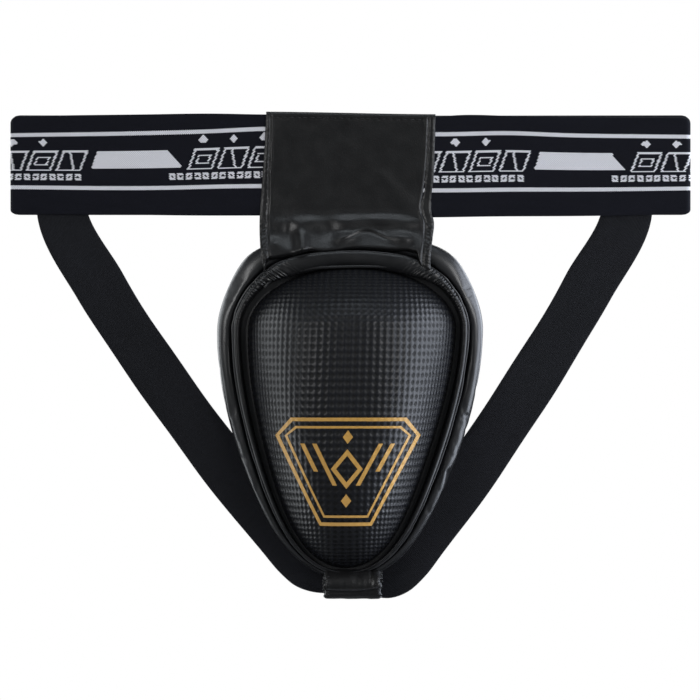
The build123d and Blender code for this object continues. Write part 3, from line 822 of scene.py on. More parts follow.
def tab_face(x, z):
    """Outward distance of the tab's front face."""
    left, right = tab_sides(z)
    inner_l, inner_r = left + through(STRIP_LEFT, z), right - through(STRIP_RIGHT, z)
    share = np.clip((x - left) / (right - left), 0, 1)
    edge = ridge(np.minimum(share, 1 - share) * (right - left), 0, 9.0, 1.6)
    base = through(FRONT_PROFILE, z) * (1 - edge) + through(EDGE_PROFILE, z) * edge + bow_gap(x)
    lip = 0.2 * (ridge(x, inner_l + 0.8, 0.8) + ridge(x, inner_r - 0.8, 0.8))
    groove = 0.6 * (ridge(x, inner_l - 0.2, 0.5) + ridge(x, inner_r + 0.3, 0.6))
    inside = smooth(0.0, 3.0, x - inner_l) * smooth(0.0, 3.0, inner_r - x)
    outer = smooth(0.0, 1.4, inner_l - x) + smooth(0.0, 1.4, x - inner_r)
    gathers = np.sin(z * 2 * pi / 2.1 + np.abs(x) * 1.3 + 1.6 * np.sin(z * 0.9))
    pucker = (0.05 + 0.22 * smooth(-24, -34, z)) * gathers
    rim = 0.5 * ridge(np.minimum(x - left, right - x), 0, 0.7)
    return base + lip - groove + tab_relief(x, z) * inside + outer * (0.12 + pucker) - rim


def tab_sheet():
    """The whole tab: up behind the band, over its top, down the front and into the crease over the rim."""
    columns, top = 150, 24.4
    share = np.linspace(0, 1, columns)
    share = 0.55 * share + 0.45 * (0.5 - 0.5 * np.cos(pi * share))
    back_z = np.interp(np.linspace(1, 0, 22), (0, 0.72, 0.97), (23.0, FOLD_TOP_Z, FOLD_TOP_Z - 14.0))
    back_z[0] = -42.0
    rows = []
    for z in back_z:
        x = tab_x(z, share)
        rows.append(np.stack([x, -(4.1 + 1.6 * smooth(-26, -40, z) + bow_gap(x)), z + 0 * x], -1))
    for a in np.linspace(0, pi, 13)[1:-1]:
        x = tab_x(26.0, share)
        rows.append(np.stack([x, 1.85 * cos(a) - 5.95 - bow_gap(x), top + 2.035 * sin(a) + tab_top(x)], -1))
    start = top + tab_top(share * 88 - 44)
    foot = through(CREASE, tab_x(start, share))
    for t in np.linspace(0, 1, 132)[1:]:
        z = start + t * (foot - start)
        x = tab_x(z, share)
        rows.append(np.stack([x, 2.6 * smooth(0.965, 1.0, t) ** 2 - tab_face(x, z), z], -1))
    points = np.array(rows)
    v = np.repeat(distances(points[:, columns // 2])[:, None], columns, 1)
    obj = grid_object("tab_leather_sheet", points, points[..., 0], v, TAB, flip=True)
    return solidify(obj, 0.9)


tab = belongs(
    tab_sheet(), ("belt", "cup"), "tab_leather", "tab_front_panel", "tab_back_panel", "tab_neck",
    "tab_binding_left", "tab_binding_right", "neck_binding_left", "neck_binding_right", span=CUP_FOLD,
)


def tab_gusset(name, side):
    """The folded side wall between the tab's front and back below the band."""
    columns = np.linspace(0, 1, 12)
    rows = []
    for z in np.linspace(-23.0, -43.0, 26):
        x_edge = tab_sides(z)[0 if side < 0 else 1]
        x_in = x_edge - side * 0.5
        front = float(tab_face(np.array([x_in]), np.array([z]))[0]) - 0.5
        back = 4.3 + 1.6 * float(smooth(-26, -40, z)) + float(bow_gap(x_edge))
        x = x_in - side * 2.4 * min(1.0, (front - back) / 8.0) * np.sin(pi * columns)
        rows.append(np.stack([x, -(front + (back - front) * columns), z + 0 * columns], -1))
    points = np.array(rows)
    obj = grid_object(name, points, points[..., 1], points[..., 2], TAB, flip=side < 0)
    belongs(solidify(obj, 0.6), ("belt", "cup"), "tab_leather", span=CUP_FOLD)


tab_gusset("tab_side_fold_left", -1)
tab_gusset("tab_side_fold_right", 1)


def seam_threads():
    """The stitch row under the tab's top edge and the rows beside its side strips."""
    x = np.arange(-37.5, 37.5, STITCH_PITCH)
    z = 22.9 + tab_top(x) + 0.6
    places = np.stack([x, -tab_face(x, z) - 0.02, z], -1)
    stitches("tab_top_thread", places, (1, 0, -0.012), 2.7, 0.5, "belt", "tab_top_stitches")
    z = np.arange(-22.0, 21.0, STITCH_PITCH)
    left, right = tab_sides(z)
    sides = [left + through(STRIP_LEFT, z) - 0.9, right - through(STRIP_RIGHT, z) + 1.1]
    places = np.concatenate([np.stack([x, -tab_face(x, z), z], -1) for x in sides])
    stitches("tab_side_thread", places, (0.04, 0, 1), 2.7, 0.42, "belt", "tab_side_stitches")


seam_threads()


# ---------------------------------------------------------------- dome of the cup
def cup_half(z, inset=0.0):
    """Half width of the cup's outline at a height."""
    down = np.maximum((CUP_ORIGIN_Z - z) / CUP_DOWN, 0)
    return (CUP_HALF - inset) * (1 - CUP_WAIST * down**2 * (1 - down))


def cup_reach(side, inset=0.0):
    """How far the cup's outline reaches up from its widest place, or down where side is negative."""
    return np.where(side > 0, CUP_UP - inset, CUP_DOWN - inset)


def cup_y(x, z, inset=0.0):
    """Depth of the dome's surface."""
    rise = z - CUP_ORIGIN_Z
    edge = 1 - (rise / cup_reach(rise, inset)) ** 2 - (x / cup_half(z, inset)) ** 2
    level = np.clip((1 - CUP_CREST * rise / CUP_DOWN) / CREST_SCALE * edge, 0.0, 1.0)
    return CUP_BASE_Y - (CUP_RISE - inset) * (1 - (1 - level) ** CUP_STEEP)


def lean(z, top=1.2, low=-2.4):
    """The cup hangs slightly askew: a sideways shift that changes down its height."""
    return top + (low - top) * smooth(CUP_HIGH[2], CUP_LOW[2] + 18, z)


def weave_places():
    """Surface distance across and down the dome, on a table of x and z."""
    x = np.linspace(0, CUP_HALF + 1, 160)
    z = np.linspace(CUP_LOW[2] - 1, CUP_HIGH[2] + 1, 320)
    zz, xx = np.meshgrid(z, x, indexing="ij")
    steps = np.hypot(np.diff(cup_y(xx, zz), axis=1), x[1])
    across = np.concatenate([np.zeros((len(z), 1)), np.cumsum(steps, 1)], 1)
    return x, z, across, distances(np.stack([cup_y(0 * z, z), z], -1))


WEAVE_X, WEAVE_Z, WEAVE_ACROSS, WEAVE_DOWN = weave_places()


def weave_uv(x, z):
    """Where a point of the dome lies on the embossed sheet."""
    fx = np.clip(np.abs(x) / WEAVE_X[1], 0, len(WEAVE_X) - 1.001)
    fz = np.clip((z - WEAVE_Z[0]) / (WEAVE_Z[1] - WEAVE_Z[0]), 0, len(WEAVE_Z) - 1.001)
    i, j = fz.astype(int), fx.astype(int)
    a, b = fz - i, fx - j
    u = (WEAVE_ACROSS[i, j] * (1 - b) + WEAVE_ACROSS[i, j + 1] * b) * (1 - a)
    u = u + (WEAVE_ACROSS[i + 1, j] * (1 - b) + WEAVE_ACROSS[i + 1, j + 1] * b) * a
    return np.sign(x) * u, np.interp(z, WEAVE_Z, WEAVE_DOWN)


def dome_places(columns, rows, inset=0.0):
    """Points x, z over the dome's outline: a square grid pulled onto a disc, then onto the outline."""
    a, b = np.meshgrid(np.linspace(-1, 1, columns), np.linspace(-1, 1, rows))
    w, h = a * np.sqrt(1 - b**2 / 2), b * np.sqrt(1 - a**2 / 2)
    z = CUP_ORIGIN_Z + h * cup_reach(h, inset)
    return w * cup_half(z, inset), z


def on_dome(x, z, lift):
    """Points on the dome, lifted along its normal."""
    step = 0.25
    slope_x = (cup_y(x + step, z) - cup_y(x - step, z)) / (2 * step)
    slope_z = (cup_y(x, z + step) - cup_y(x, z - step)) / (2 * step)
    normal = np.stack([slope_x, -np.ones_like(x), slope_z], -1)
    normal = normal / np.linalg.norm(normal, axis=-1, keepdims=True)
    points = np.stack([x, cup_y(x, z), z], -1) + normal * lift
    points[..., 0] += lean(z)
    return points


def cup_dome():
    """The embossed cover of the cup."""
    x, z = dome_places(150, 210)
    obj = grid_object("cup_dome", on_dome(x, z, 0.0), *weave_uv(x, z), CUP)
    belongs(solidify(obj, 0.8), "cup", "cup_leather", "cup_cover")


cup_dome()


# ---------------------------------------------------------------- emblem
def shape_mesh(name, polygons, step):
    """Flat polygons, each an outline with an optional hole, cut into small cells and laid on the dome."""
    edit = bmesh.new()
    for outer, hole in polygons:
        rings = [[edit.verts.new((x, z, 0)) for x, z in ring] for ring in (outer, hole or [])]
        if hole is None:
            edit.faces.new(rings[0])
            continue
        beside = [ring[1:] + ring[:1] for ring in rings]
        for a, b, c, d in zip(rings[0], beside[0], beside[1], rings[1]):
            edit.faces.new([a, b, c, d])
    for axis, low, high in ((Vector((1, 0, 0)), -42.0, 42.0), (Vector((0, 1, 0)), -188.0, -122.0)):
        for place in np.arange(low, high, step):
            geometry = edit.verts[:] + edit.edges[:] + edit.faces[:]
            bmesh.ops.bisect_plane(edit, geom=geometry, plane_co=axis * place, plane_no=axis)
    edit.verts.ensure_lookup_table()
    x, z = np.array([v.co[:2] for v in edit.verts]).T
    faces = [[v.index for v in f.verts] for f in edit.faces]
    edit.free()
    woven = np.stack(weave_uv(x, z), -1)
    return make_object(name, on_dome(x, z, 0.12), faces, woven[np.concatenate(faces)], GOLD)


def shield(inset):
    return [
        (-29.0 + 0.6 * inset, -128.0 - inset),
        (29.0 - 0.6 * inset, -128.0 - inset),
        (36.5 - 1.15 * inset, -137.0),
        (13.0 - 0.45 * inset, -182.5 + inset),
        (-13.0 + 0.45 * inset, -182.5 + inset),
        (-36.5 + 1.15 * inset, -137.0),
    ]


def diamond(z, reach, rise):
    return [(-reach, z), (0, z + rise), (reach, z), (0, z - rise)]


def slant_bar(side, start, length):
    lean_rate = (36.5 - 13.0) / 45.5
    high = -141.0
    shift = lean_rate * length
    low = high - length
    points = [(start, high), (start + 2.2, high), (start + 2.2 - shift, low), (start - shift, low)]
    return [(side * x, z) for x, z in points]


def emblem():
    """Generic gold shield: frame, inner line, diamonds and slanting bars."""
    shapes = [
        (shield(0), shield(1.8)),
        (shield(4.2), shield(5.4)),
        (diamond(-153.7, 8.0, 10.0), diamond(-153.7, 5.33, 6.67)),
        (diamond(-137.7, 2.6, 3.4), None),
        (diamond(-169.7, 2.6, 3.4), None),
    ]
    for side in (-1, 1):
        shapes.append((slant_bar(side, 15.5, 21.0), None))
        shapes.append((slant_bar(side, 21.5, 14.0), None))
    belongs(shape_mesh("emblem", shapes, 0.8), "cup", "gold_print", "emblem_print")


emblem()


# ---------------------------------------------------------------- rim rolls
def rim_line(share, turn, inset=0.0):
    """x, z of the egg outline at a share (0 dome edge, 1 rim edge) and turn."""
    lift = np.sin(turn)
    down = np.maximum(-lift, 0)
    half = CUP_HALF + share * (RIM_HALF - CUP_HALF) - inset
    up = CUP_UP + share * (RIM_UP - CUP_UP) - inset
    low = CUP_DOWN + share * (RIM_DOWN - CUP_DOWN) - inset
    waist = CUP_WAIST + share * (RIM_WAIST - CUP_WAIST)
    scale = 1 - waist * down**2 * (1 - down) + share * RIM_SHOULDER * np.maximum(lift, 0) ** 4
    x = half * np.cos(turn) * scale
    z = CUP_ORIGIN_Z + np.where(lift > 0, up, low) * lift
    return x + lean(z, 0.6 * (1 - share), -2.4 + 1.2 * share), z


def ring_object(name, share, y, turn, material):
    """A closed tube round the rim: share and y are (section, turn) arrays."""
    x, z = rim_line(share, turn[None, :])
    points = np.stack([x, y, z], -1).transpose(1, 0, 2)
    around_rim = np.concatenate([points, points[:1]])
    along = np.linalg.norm(np.diff(around_rim, axis=0), axis=2).mean(1)
    section = np.linalg.norm(np.diff(wrapped(points), axis=1), axis=2).mean(0)
    v, u = np.meshgrid(np.cumsum([0, *section]), np.cumsum([0, *along]))
    obj = grid_object(name, points, u, v, material, closed_rows=True, closed_columns=True)
    close_mesh(obj)
    return obj


def inner_roll():
    """The piping roll round the dome, gathered where the tab ends."""
    turn = full_turn(1500)
    angle = full_turn(26)[:, None]
    high = smooth(0.55, 0.97, np.sin(turn)[None, :])
    low = smooth(0.55, 0.98, -np.sin(turn)[None, :])
    s_in = 0.20 * (1 - high) - 0.02 * high
    s_out = 0.47 + 0.05 * high
    front, back = PIPING_FRONT + 1.6 * low, -12.6
    gather = ridge(turn, 0.78, 0.24) + 0.9 * ridge(turn, 2.36, 0.22)
    gather = gather + 0.25 * ridge(turn, 0.35, 0.25) + 0.2 * ridge(turn, 2.8, 0.3)
    arc = turn * 62.0
    fold = np.sin(arc * 2 * pi / 2.5 + 2.2 * np.sin(arc * 0.31) + 1.3 * np.sin(arc * 0.83))
    fold = fold + 0.5 * np.sin(arc * 2 * pi / 4.1 + 1.7 * np.sin(arc * 0.17))
    swell = 1 + 0.03 * ripple(arc, 0 * arc, 15.0, 21)
    crimp = gather * fold
    share = (s_in + s_out) / 2 + ((s_out - s_in) / 2 * swell + 0.010 * crimp) * np.cos(angle)
    y = (front + back) / 2 + (front - back) / 2 * np.sin(angle) * swell
    y = y - 0.30 * crimp * np.clip(np.sin(angle), 0, 1)
    obj = ring_object("inner_roll", share, y, turn, ROLL)
    belongs(obj, "cup", "roll_leather", "piping_cover", "piping_cord")


def hard_shell():
    """The moulded shell under the cover, which leans with it."""
    x, z = dome_places(90, 130, 1.25)
    points = np.stack([x + lean(z), cup_y(x, z, 1.25), z], -1)
    obj = grid_object("moulded_shell", points, x, z, PLASTIC)
    belongs(solidify(obj, 2.3), "cup", "shell_plastic", "cup_shell")


def cover_hem():
    """The cover's flat hem, under the gutter between dome and roll."""
    rows = []
    for share, inset, y in (
        (0.0, 1.6, -12.9), (0.0, 0.5, -12.35), (0.04, 0.0, -12.3), (0.12, 0.0, -12.4), (0.26, 0.0, -12.9),
    ):
        x, z = rim_line(share, full_turn(300), inset)
        rows.append(np.stack([x, y + 0 * x, z], -1))
    belongs(solidify(ring_sheet("cover_hem", rows, ROLL), 0.3), "cup", "cup_leather")


inner_roll()
hard_shell()
cover_hem()


def rim_seams():
    """Thin raised seam edges: one round the rim, one over the rim's top where the tab ends, in leather
    painted lighter as their highlight.
    """
    turn = full_turn(260)
    x, z = rim_line(0.475 + 0.012 * ripple(turn * 60, 0 * turn, 12.0, 31), turn)
    y = -16.2 + 0.12 * ripple(turn * 60, 0 * turn, 9.0, 32) + 1.4 * smooth(0.6, 0.98, -np.sin(turn))
    tube("rim_seam_edge", np.stack([x, y, z], -1), 0.6, SEAM_HIGHLIGHT_LEATHER, "roll_leather", closed=True)
    top = [
        (-43.5, -62.0), (-41.5, -59.5), (-39.4, -57.0), (-34.0, -55.3), (-27.7, -53.8), (-19.0, -51.9),
        (-7.9, -51.6), (7.0, -51.2), (15.0, -51.5), (22.6, -51.3), (28.7, -52.4), (34.3, -52.9),
        (38.9, -54.0), (43.5, -57.0),
    ]
    tube("top_seam_edge", [(x, 0.008 * abs(x) - 16.9, z - 0.6) for x, z in top], 0.8, SEAM_HIGHLIGHT_LEATHER, "roll_leather")


rim_seams()


def cloth_swell(obj, pinned, pressure, slack, cap, frames=20):
    """Inflates a padded cover with cloth, its seams pinned, and keeps the result up to a largest shift."""
    group = obj.vertex_groups.new(name="seams")
    group.add([int(k) for k in pinned], 1.0, "REPLACE")
    rest = np.array([v.co for v in obj.data.vertices])
    cloth = obj.modifiers.new("cloth", "CLOTH")
    cloth.settings.effector_weights.gravity = 0.0
    for key, value in dict(
        vertex_group_mass="seams", use_pressure=True, uniform_pressure_force=pressure, shrink_min=-slack,
        tension_stiffness=25, compression_stiffness=25, bending_stiffness=6.0, quality=6, mass=0.2,
        time_scale=0.5,
    ).items():
        setattr(cloth.settings, key, value)
    cloth.collision_settings.use_collision = False
    cloth.point_cache.frame_start = 1
    cloth.point_cache.frame_end = frames
    scene = bpy.context.scene
    for number in range(1, frames + 1):
        scene.frame_set(number)
    swollen = obj.evaluated_get(bpy.context.evaluated_depsgraph_get())
    shift = np.array([v.co for v in swollen.to_mesh().vertices]) - rest
    swollen.to_mesh_clear()
    scene.frame_set(1)
    obj.modifiers.remove(cloth)
    size = np.linalg.norm(shift, axis=1, keepdims=True)
    shift = shift * np.minimum(1, cap * MM / np.maximum(size, 1e-9))
    obj.data.vertices.foreach_set("co", (rest + shift).ravel())
    obj.data.update()
    print("cloth", obj.name, "largest shift mm", round(float(size.max()) / MM, 2))


def outer_roll():
    """The broad padded roll round the rim, swollen by cloth between its seams."""
    count, section = 520, 26
    turn = full_turn(count)
    angle = full_turn(section)[:, None]
    c, s = np.cos(angle), np.sin(angle)
    low = smooth(0.35, 0.98, -np.sin(turn)[None, :])
    s_in, s_out = 0.46, 0.985 - 0.10 * low
    front, back = ROLL_FRONT + 0.4 + 1.2 * low, RIM_BACK_Y - 0.6
    share = (s_in + s_out) / 2 + (s_out - s_in) / 2 * (c - 0.34 * np.clip(s, 0, 1) ** 2)
    y = (front + back) / 2 + (front - back) / 2 * s
    obj = ring_object("outer_roll", share, y, turn, OUTER_ROLL_LIT_COPY)
    seams = [m for m in range(section) if abs(m - section / 2) <= 2 or abs(m - 0.78 * section) <= 3]
    cloth_swell(obj, [k * section + m for k in range(count) for m in seams], 3.0, 0.012, 1.0)
    layer = obj.modifiers.new("smooth", "SUBSURF")
    layer.levels = layer.render_levels = 1
    belongs(obj, "cup", "roll_leather", "outer_roll_cover", "outer_roll_foam")


outer_roll()


# ---------------------------------------------------------------- back of the cup
def back_liner():
    """The foam pad inside the shell, with its mesh cloth, out to the mouth."""
    count = 260
    turn = full_turn(count)
    rows = []
    for r in (*np.linspace(0.02, 0.97, 60), 0.985, 1.0):
        z = CUP_ORIGIN_Z + r * np.sin(turn) * cup_reach(np.sin(turn), CAVITY_INSET)
        x = r * np.cos(turn) * cup_half(z, CAVITY_INSET)
        y = cup_y(x, z, CAVITY_INSET) + 0.35 * ripple(x, z, 21.0, 41)
        rows.append(np.stack([x + lean(z), y, z], -1))
    for y in (-10.5, -8.5, -6.6, -5.2):
        x, z = rim_line(0.0, turn, CAVITY_INSET - 0.2 - 0.3 * sin((y + 12) * pi / 7))
        rows.append(np.stack([x, y + 0 * x, z], -1))
    obj = ring_sheet("cup_back_liner", rows, MESH_CLOTH, slope=0.8, flip=True)
    close_mesh(obj, range(count))
    belongs(obj, "cup", "foam", "cup_foam_liner")


back_liner()


# share of the way from dome to rim edge, inset and depth of each ring, from the mouth outwards
LINING_RINGS = [
    (0.0, 8.9, -7.2), (0.0, 8.7, -5.8), (0.0, 8.2, -4.4), (0.0, 7.3, -3.4), (0.0, 6.0, -2.85),
    (0.0, 4.0, -2.62), (0.0, 1.0, -2.60), (0.15, 0.0, -2.60), (0.30, 0.0, -2.64), (0.45, 0.0, -2.62),
    (0.6, 0.0, -2.66), (0.68, 0.0, -2.78), (0.72, 0.0, -3.05), (0.75, 0.0, -3.05), (0.79, 0.0, -2.80),
    (0.86, 0.0, -2.78), (0.92, 0.0, -3.1), (0.96, 0.0, -3.8), (0.985, 0.0, -4.9),
]


def back_lining():
    """The lining over the back of the rim: a soft flat ring with a sewn channel near its edge."""
    turn = full_turn(420)
    rows = []
    for share, inset, y in LINING_RINGS:
        x, z = rim_line(share, turn, inset)
        soft = 0.10 * np.abs(ripple(x, z, 12.0, 51)) * (y > -4)
        rows.append(np.stack([x, y - soft, z], -1))
    obj = solidify(ring_sheet("rim_lining", rows, LINING), 0.6)
    belongs(obj, "cup", "lining", "rim_back_lining")
    x, z = rim_line(0.735, turn)
    ring = np.stack([x, -2.85 + 0 * x, z], -1)
    lengths = distances(ring)
    spots = np.arange(0, lengths[-1], STITCH_PITCH)
    here, ahead = [
        np.stack([np.interp(place, lengths, ring[:, k]) for k in range(3)], -1)
        for place in (spots, spots + 0.6)
    ]
    stitches("rim_thread", here, ahead - here + 1e-6, 2.6, 0.45, "cup", "rim_stitches")


back_lining()


# ---------------------------------------------------------------- leg straps
# x, z, heading and twist in degrees, and y, from the sewn end behind the band to the end in the sleeve
LEFT_STRAP = [
    (-146.0, 8.4, 90.0, 0.0, -1.75),
    (-146.2, -6.0, 88.0, 0.0, -1.75),
    (-147.2, -20.8, 72.0, 0.0, -1.7),
    (-127.2, -62.0, 60.0, 0.0, -1.7),
    (-101.3, -101.8, 55.5, 0.0, -1.7),
    (-72.2, -142.1, 53.0, 0.0, -1.7),
    (-48.7, -172.3, 50.0, 0.0, -1.7),
    (-34.8, -188.6, 47.0, 0.0, -1.6),
    (-26.6, -198.4, 38.0, 4.0, -1.4),
    (-20.0, -204.4, 28.0, 8.0, -1.2),
    (-13.5, -207.9, 13.0, 10.0, -1.1),
    (-6.0, -209.4, 4.0, 8.0, -1.0),
    (4.0, -209.8, 1.0, 6.0, -1.0),
]
RIGHT_STRAP = [
    (138.6, 8.4, 90.0, 0.0, -1.75),
    (139.2, -6.0, 88.0, 0.0, -1.75),
    (140.9, -20.8, 76.0, 0.0, -1.7),
    (120.9, -62.3, 61.0, 0.0, -1.7),
    (97.1, -102.2, 57.5, 0.0, -1.7),
    (70.7, -142.6, 56.0, 0.0, -1.7),
    (50.0, -172.6, 53.0, 0.0, -1.7),
    (36.6, -190.0, 50.0, 0.0, -1.4),
    (28.6, -200.4, 43.0, 4.0, -0.6),
    (22.4, -206.4, 32.0, 8.0, 0.2),
    (16.6, -209.7, 15.0, 10.0, 0.6),
    (8.0, -210.2, 5.0, 8.0, 0.8),
    (-3.0, -209.8, 1.0, 6.0, 0.9),
]


def unit(vectors):
    return vectors / np.linalg.norm(vectors, axis=1, keepdims=True)


def leg_strap(name, side, stations, node, end_node):
    """One ribbed elastic strap, face-on down to the sleeve and gathered inside it."""
    table = np.array(stations)
    knots = distances(table[:, [0, 4, 1]])
    along = np.linspace(0, knots[-1], 190)
    x, z, heading, twist, y = [through(list(zip(knots, table[:, k])), along) for k in range(5)]
    centre = np.stack([x, y, z], -1)
    h, t = np.radians(heading), np.radians(twist)
    across = np.stack([-side * np.sin(h) * np.cos(t), np.sin(t), np.cos(h) * np.cos(t)], -1)
    normal = unit(np.cross(across, unit(np.gradient(centre, axis=0))))
    width = STRAP_WIDTH + 0.35 * np.sin(along * 0.11) + 0.25 * np.sin(along * 0.043 + side)
    width = width - 7.0 * smooth(24.0, 8.0, side * x)
    share, edge, face = strip_section(12, 3, STRAP_THICK / 2)
    place = share * (width[:, None] - STRAP_THICK) / 2 + edge
    points = centre[:, None] + across[:, None] * place[..., None] + normal[:, None] * face[:, None]
    obj, ends = strip_object(name, points, distances(centre), place, ELASTIC)
    close_mesh(obj, *ends)
    belongs(obj, ("belt", "cup"), "strap_elastic", node, end_node, span=CUP_FOLD)


leg_strap("strap_left", -1, LEFT_STRAP, "leg_strap_left", "strap_end_left")
leg_strap("strap_right", 1, RIGHT_STRAP, "leg_strap_right", "strap_end_right")


def strap_tacks():
    """Two rows of thread that hold each strap's end to the band."""
    rows = [(middle, z) for middle in (-146.0, 138.8) for z in (-19.0, 4.0)]
    places = [(x, -1.0, z) for middle, z in rows for x in np.arange(middle - 10.5, middle + 10.6, 3.0)]
    stitches("strap_thread", places, (1, 0, 0), 2.2, 0.4, "belt", "strap_tack_stitches")


strap_tacks()


# ---------------------------------------------------------------- tunnel under the cup
TUNNEL_SIDE = (-13.3, 15.6)
# y and z of the sleeve's leather, from the front edge down, round and up the back
TUNNEL_PATH = [
    (-12.8, -205.3), (-15.4, -206.0), (-17.6, -208.0), (-19.2, -210.6), (-19.7, -213.2), (-19.0, -215.8),
    (-17.9, -218.6), (-15.0, -219.8), (-9, -220.4), (-3, -220.6), (1.5, -219.9), (3.6, -217.2),
    (3.9, -212.0), (3.7, -206.0), (3.1, -201.4), (1.8, -198.0), (0.2, -195.2), (-0.9, -192.6), (-1.5, -190.0),
]


def tunnel():
    """The leather sleeve that holds both straps, with its raised seam and the tacks at its ends."""
    path = np.array(TUNNEL_PATH)
    knots = distances(path)
    along = np.linspace(0, knots[-1], 110)
    y, z = (through(list(zip(knots, path[:, k])), along) for k in (0, 1))
    share = np.linspace(0, 1, 56)
    dy, dz = np.gradient(y), np.gradient(z)
    out_y, out_z = dz / np.hypot(dy, dz), -dy / np.hypot(dy, dz)
    left = TUNNEL_SIDE[0] + 0.5 * np.sin(along * 0.9) * smooth(0, 20, along)
    right = TUNNEL_SIDE[1] - 0.9 * smooth(2, 0, along) + 0.4 * np.sin(along * 1.1 + 1)
    x = left[:, None] + (right - left)[:, None] * share
    seam = 13.4 + 1.6 * share - 3.0 * share**3
    place = along[:, None]
    relief = 0.45 * ridge(place, seam, 0.55) - 0.5 * ridge(place, seam + 1.2, 0.7)
    fade = smooth(0, 6, place) * (1 - 0.8 * smooth(22, 30, place))
    relief = relief + 0.22 * ripple(x, place, 8.0, 61) * fade
    relief = relief - 0.5 * ridge(x, 10.6, 0.7) * smooth(12.5, 9.0, place)
    relief = relief - 0.9 * ridge(np.minimum(share, 1 - share) * (right - left)[:, None], 0, 0.9)
    points = np.stack([x, y[:, None] + out_y[:, None] * relief, z[:, None] + out_z[:, None] * relief], -1)
    obj = grid_object("bottom_sleeve", points, x, place + 0 * x, TAB)
    belongs(solidify(obj, 1.0, 1.0), "cup", "tab_leather", "bottom_tunnel")
    run = np.linspace(0.05, 0.97, 60)
    line = 12.9 + 1.6 * run - 3.0 * run**3
    lines = (left, y + out_y * 1.25, z + out_z * 1.25)
    welt = np.stack([np.interp(line, along, values) for values in lines], -1)
    welt[:, 0] += run * np.interp(line, along, right - left)
    # The seam's edge uses the leather painted lighter as its highlight.
    tube("sleeve_seam_edge", welt, 0.42, SEAM_HIGHLIGHT_LEATHER, "tab_leather")
    places = [
        (x_place, float(np.interp(-z_place, -z[:40], y[:40])) - 0.15, z_place)
        for x_place in (TUNNEL_SIDE[0] + 1.6, TUNNEL_SIDE[1] - 1.6)
        for z_place in np.arange(-218.0, -208.0, 1.5)
    ]
    stitches("sleeve_thread", places, (1.0, 0, 0.15), 2.0, 0.5, "cup", "bottom_tack_stitches")


tunnel()


def ruffle(name, x, side, low, high, y):
    """The frayed binding edge of the sleeve: a thread that wanders up its open end."""
    picks = np.random.default_rng(int(abs(low)) + side)
    points = []
    for k, z in enumerate(np.arange(low, high, 0.75)):
        swing = side * (0.2 + (1.1 if k % 2 else -0.3) * picks.uniform(0.5, 1.2))
        points.append((x + swing, y + picks.uniform(-0.5, 0.4), z))
    tube(name, points, 0.3, TAB, "tab_leather")


ruffle("sleeve_fray_left", TUNNEL_SIDE[0] + 0.3, -1, -217.5, -208.0, -18.6)
ruffle("sleeve_fray_right", TUNNEL_SIDE[1] - 0.6, 1, -213.5, -205.5, -18.2)


# ---------------------------------------------------------------- closure at the back
def rear_slab(name, start, end, inner, outer, half_height, material, corner):
    """A flat piece with rounded corners on the bowed rear half."""
    columns, rows = 60, 30
    share = np.linspace(0, 1, columns)
    up = np.linspace(-1, 1, rows)[:, None]
    x = start + (end - start) * share
    gap = np.minimum(np.minimum(x - start, end - x), corner)
    z = up * (half_height - corner + np.sqrt(np.maximum(corner**2 - (corner - gap) ** 2, 0)))
    rim = 1 - np.abs(up) ** 14 * 0.35 - np.abs(2 * share - 1) ** 40 * 0.35
    middle, half = (inner + outer) / 2, (outer - inner) / 2
    xx = x + 0 * z
    faces_y = [bow_y(xx, 1) + middle + side * half * rim for side in (1, -1)]
    points = np.concatenate([np.stack([xx, y, z], -1).reshape(-1, 3) for y in faces_y])
    number = np.arange(rows * columns).reshape(rows, columns)
    cells = np.stack([number[:-1, :-1], number[:-1, 1:], number[1:, 1:], number[1:, :-1]], -1).reshape(-1, 4)
    ring = np.concatenate([number[0], number[1:, -1], number[-1, -2::-1], number[-2:0:-1, 0]])
    beside = np.roll(ring, -1)
    walls = np.stack([ring, beside, number.size + beside, number.size + ring], -1)
    faces = np.concatenate([cells[:, ::-1], number.size + cells, walls])
    obj = make_object(name, points, faces, points[faces.ravel()][:, [0, 2]], material)
    close_mesh(obj)
    return obj


def rear_offsets(node):
    """Inner and outer distance of a rear piece from the band's middle surface at its place."""
    low, high = box_mm(node)
    x_near = min(abs(low[0]), abs(high[0]))
    x_far = max(abs(low[0]), abs(high[0]))
    return low[1] - float(bow_y(x_far, 1)), high[1] - float(bow_y(x_near if low[0] * high[0] > 0 else 0.0, 1))


def closure():
    """The closure: base block, pull tab, hook pad and loop pad, with their stitching."""
    for name, node, material, corner, body, slot in (
        ("closure_fold", "closure_base", ELASTIC, 1.2, "rear_left", "strap_elastic"),
        ("closure_pull", "closure_tab", ELASTIC, 6.0, "closure", "strap_elastic"),
        ("hook_patch", "hook_pad", HOOK, 2.0, "closure", "hook"),
        ("loop_patch", "loop_pad", LOOP, 2.0, "rear_right", "loop"),
    ):
        low, high = box_mm(node)
        obj = rear_slab(name, low[0], high[0], *rear_offsets(node), high[2], material, corner)
        belongs(obj, body, slot, node)
    low, high = box_mm("closure_base")
    columns = (low[0] + 2, high[0] - 2.7)
    places = [(x, high[1] - 0.05, z) for x in columns for z in np.arange(-21.5, 22, 3.4)]
    stitches("closure_thread", places, (0, 0, 1), 2.5, 0.5, "rear_left", "closure_stitches")
    low, high = box_mm("closure_tab")
    outer = rear_offsets("closure_tab")[1]
    rows = np.arange(low[0] + 8, high[0] - 6, 3.4)
    places = [(x, float(bow_y(x, 1)) + outer, z) for z in (-20.5, 20.5) for x in rows]
    stitches("pull_thread", places, (1, 0, 0), 2.5, 0.45, "closure")


closure()


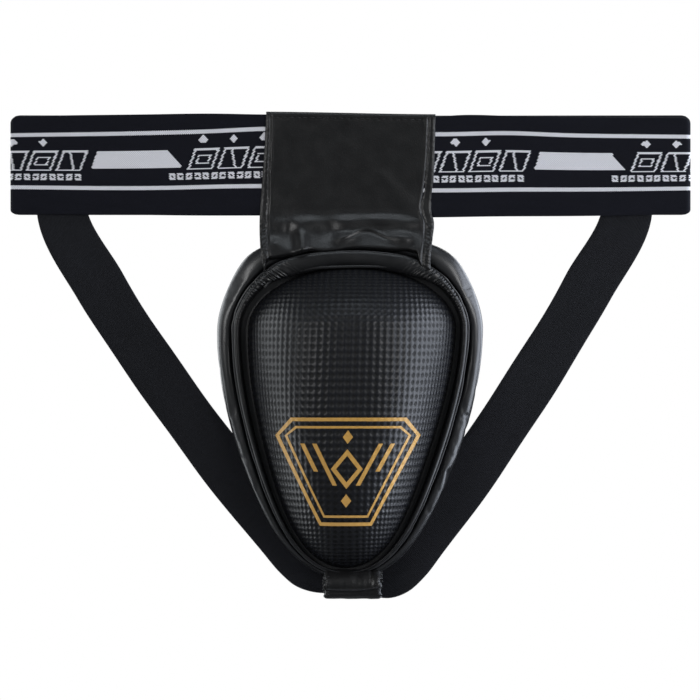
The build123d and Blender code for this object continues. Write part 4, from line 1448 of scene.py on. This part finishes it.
# ---------------------------------------------------------------- floor, light, camera
def floor():
    """A plain pale round floor under the hanging object."""
    turn = full_turn(96)
    low = CAD_BOX[0][2] / MM - 100
    points = np.stack([640 * np.cos(turn), 640 * np.sin(turn), low + 0 * turn], -1)
    paint = Paint("floor", 0.9, Specular_IOR_Level=0.1)
    paint.base((0.82, 0.82, 0.83))
    obj = make_object("floor", points, [range(96)], None, paint.material, smooth_faces=False)
    obj.visible_glossy = False


LIGHT_TARGET = (0, 0, -0.1)


def area_light(name, place, size, power, colour=(1, 1, 1)):
    """A soft box, in metres, that the camera doesn't see."""
    lamp = bpy.data.lights.new(name, "AREA")
    lamp.shape = "RECTANGLE"
    lamp.size, lamp.size_y = size
    lamp.energy = power
    lamp.color = colour
    obj = add_object(name, lamp)
    obj.location = place
    obj.rotation_euler = (Vector(LIGHT_TARGET) - Vector(place)).to_track_quat("-Z", "Y").to_euler()
    obj.visible_camera = False


def studio():
    """White surroundings for the camera, dim ones for the object, and soft boxes."""
    world = bpy.data.worlds.new("studio")
    bpy.context.scene.world = world
    world.use_nodes = True
    tree = world.node_tree
    tree.nodes.clear()
    add, link = tree.nodes.new, tree.links.new
    mix = add("ShaderNodeMixShader")
    link(add("ShaderNodeLightPath").outputs["Is Camera Ray"], mix.inputs[0])
    for socket, colour, strength in ((1, (0.9, 0.95, 1.0, 1), 0.10), (2, (1, 1, 1, 1), 1.0)):
        sky = add("ShaderNodeBackground")
        sky.inputs["Color"].default_value = colour
        sky.inputs["Strength"].default_value = strength
        link(sky.outputs[0], mix.inputs[socket])
    link(mix.outputs[0], add("ShaderNodeOutputWorld").inputs[0])
    area_light("side_left", (-1.2, 0.62, 0.05), (1.5, 1.7), 21, (0.93, 0.97, 1.0))
    area_light("side_right", (1.28, 0.26, 0.05), (1.9, 1.7), 44, (0.82, 0.88, 1.0))
    area_light("key_left", (-1.3, -1.5, 0.5), (0.7, 1.0), 10.6)
    area_light("key_right", (1.3, -1.5, 0.5), (0.7, 1.0), 11.4)
    area_light("soft_top", (0.0, -0.5, 1.6), (1.4, 0.35), 5, (0.85, 0.93, 1.0))
    area_light("soft_back", (0.3, 1.6, 0.7), (1.6, 1.0), 13)


def camera():
    """A long lens in front of the cup, square to the waistband."""
    scene = bpy.context.scene
    data = bpy.data.cameras.new("camera")
    distance, seen_width = 3.0, 0.3556
    data.sensor_width = 36.0
    data.lens = data.sensor_width * distance / seen_width
    data.clip_start, data.clip_end = 0.05, 40
    obj = add_object("camera", data)
    obj.location = (-0.00025, -distance - 0.007, -0.0942)
    obj.rotation_euler = (pi / 2, 0, 0)
    scene.camera = obj
    scene.view_settings.view_transform = "Standard"


floor()
studio()
camera()
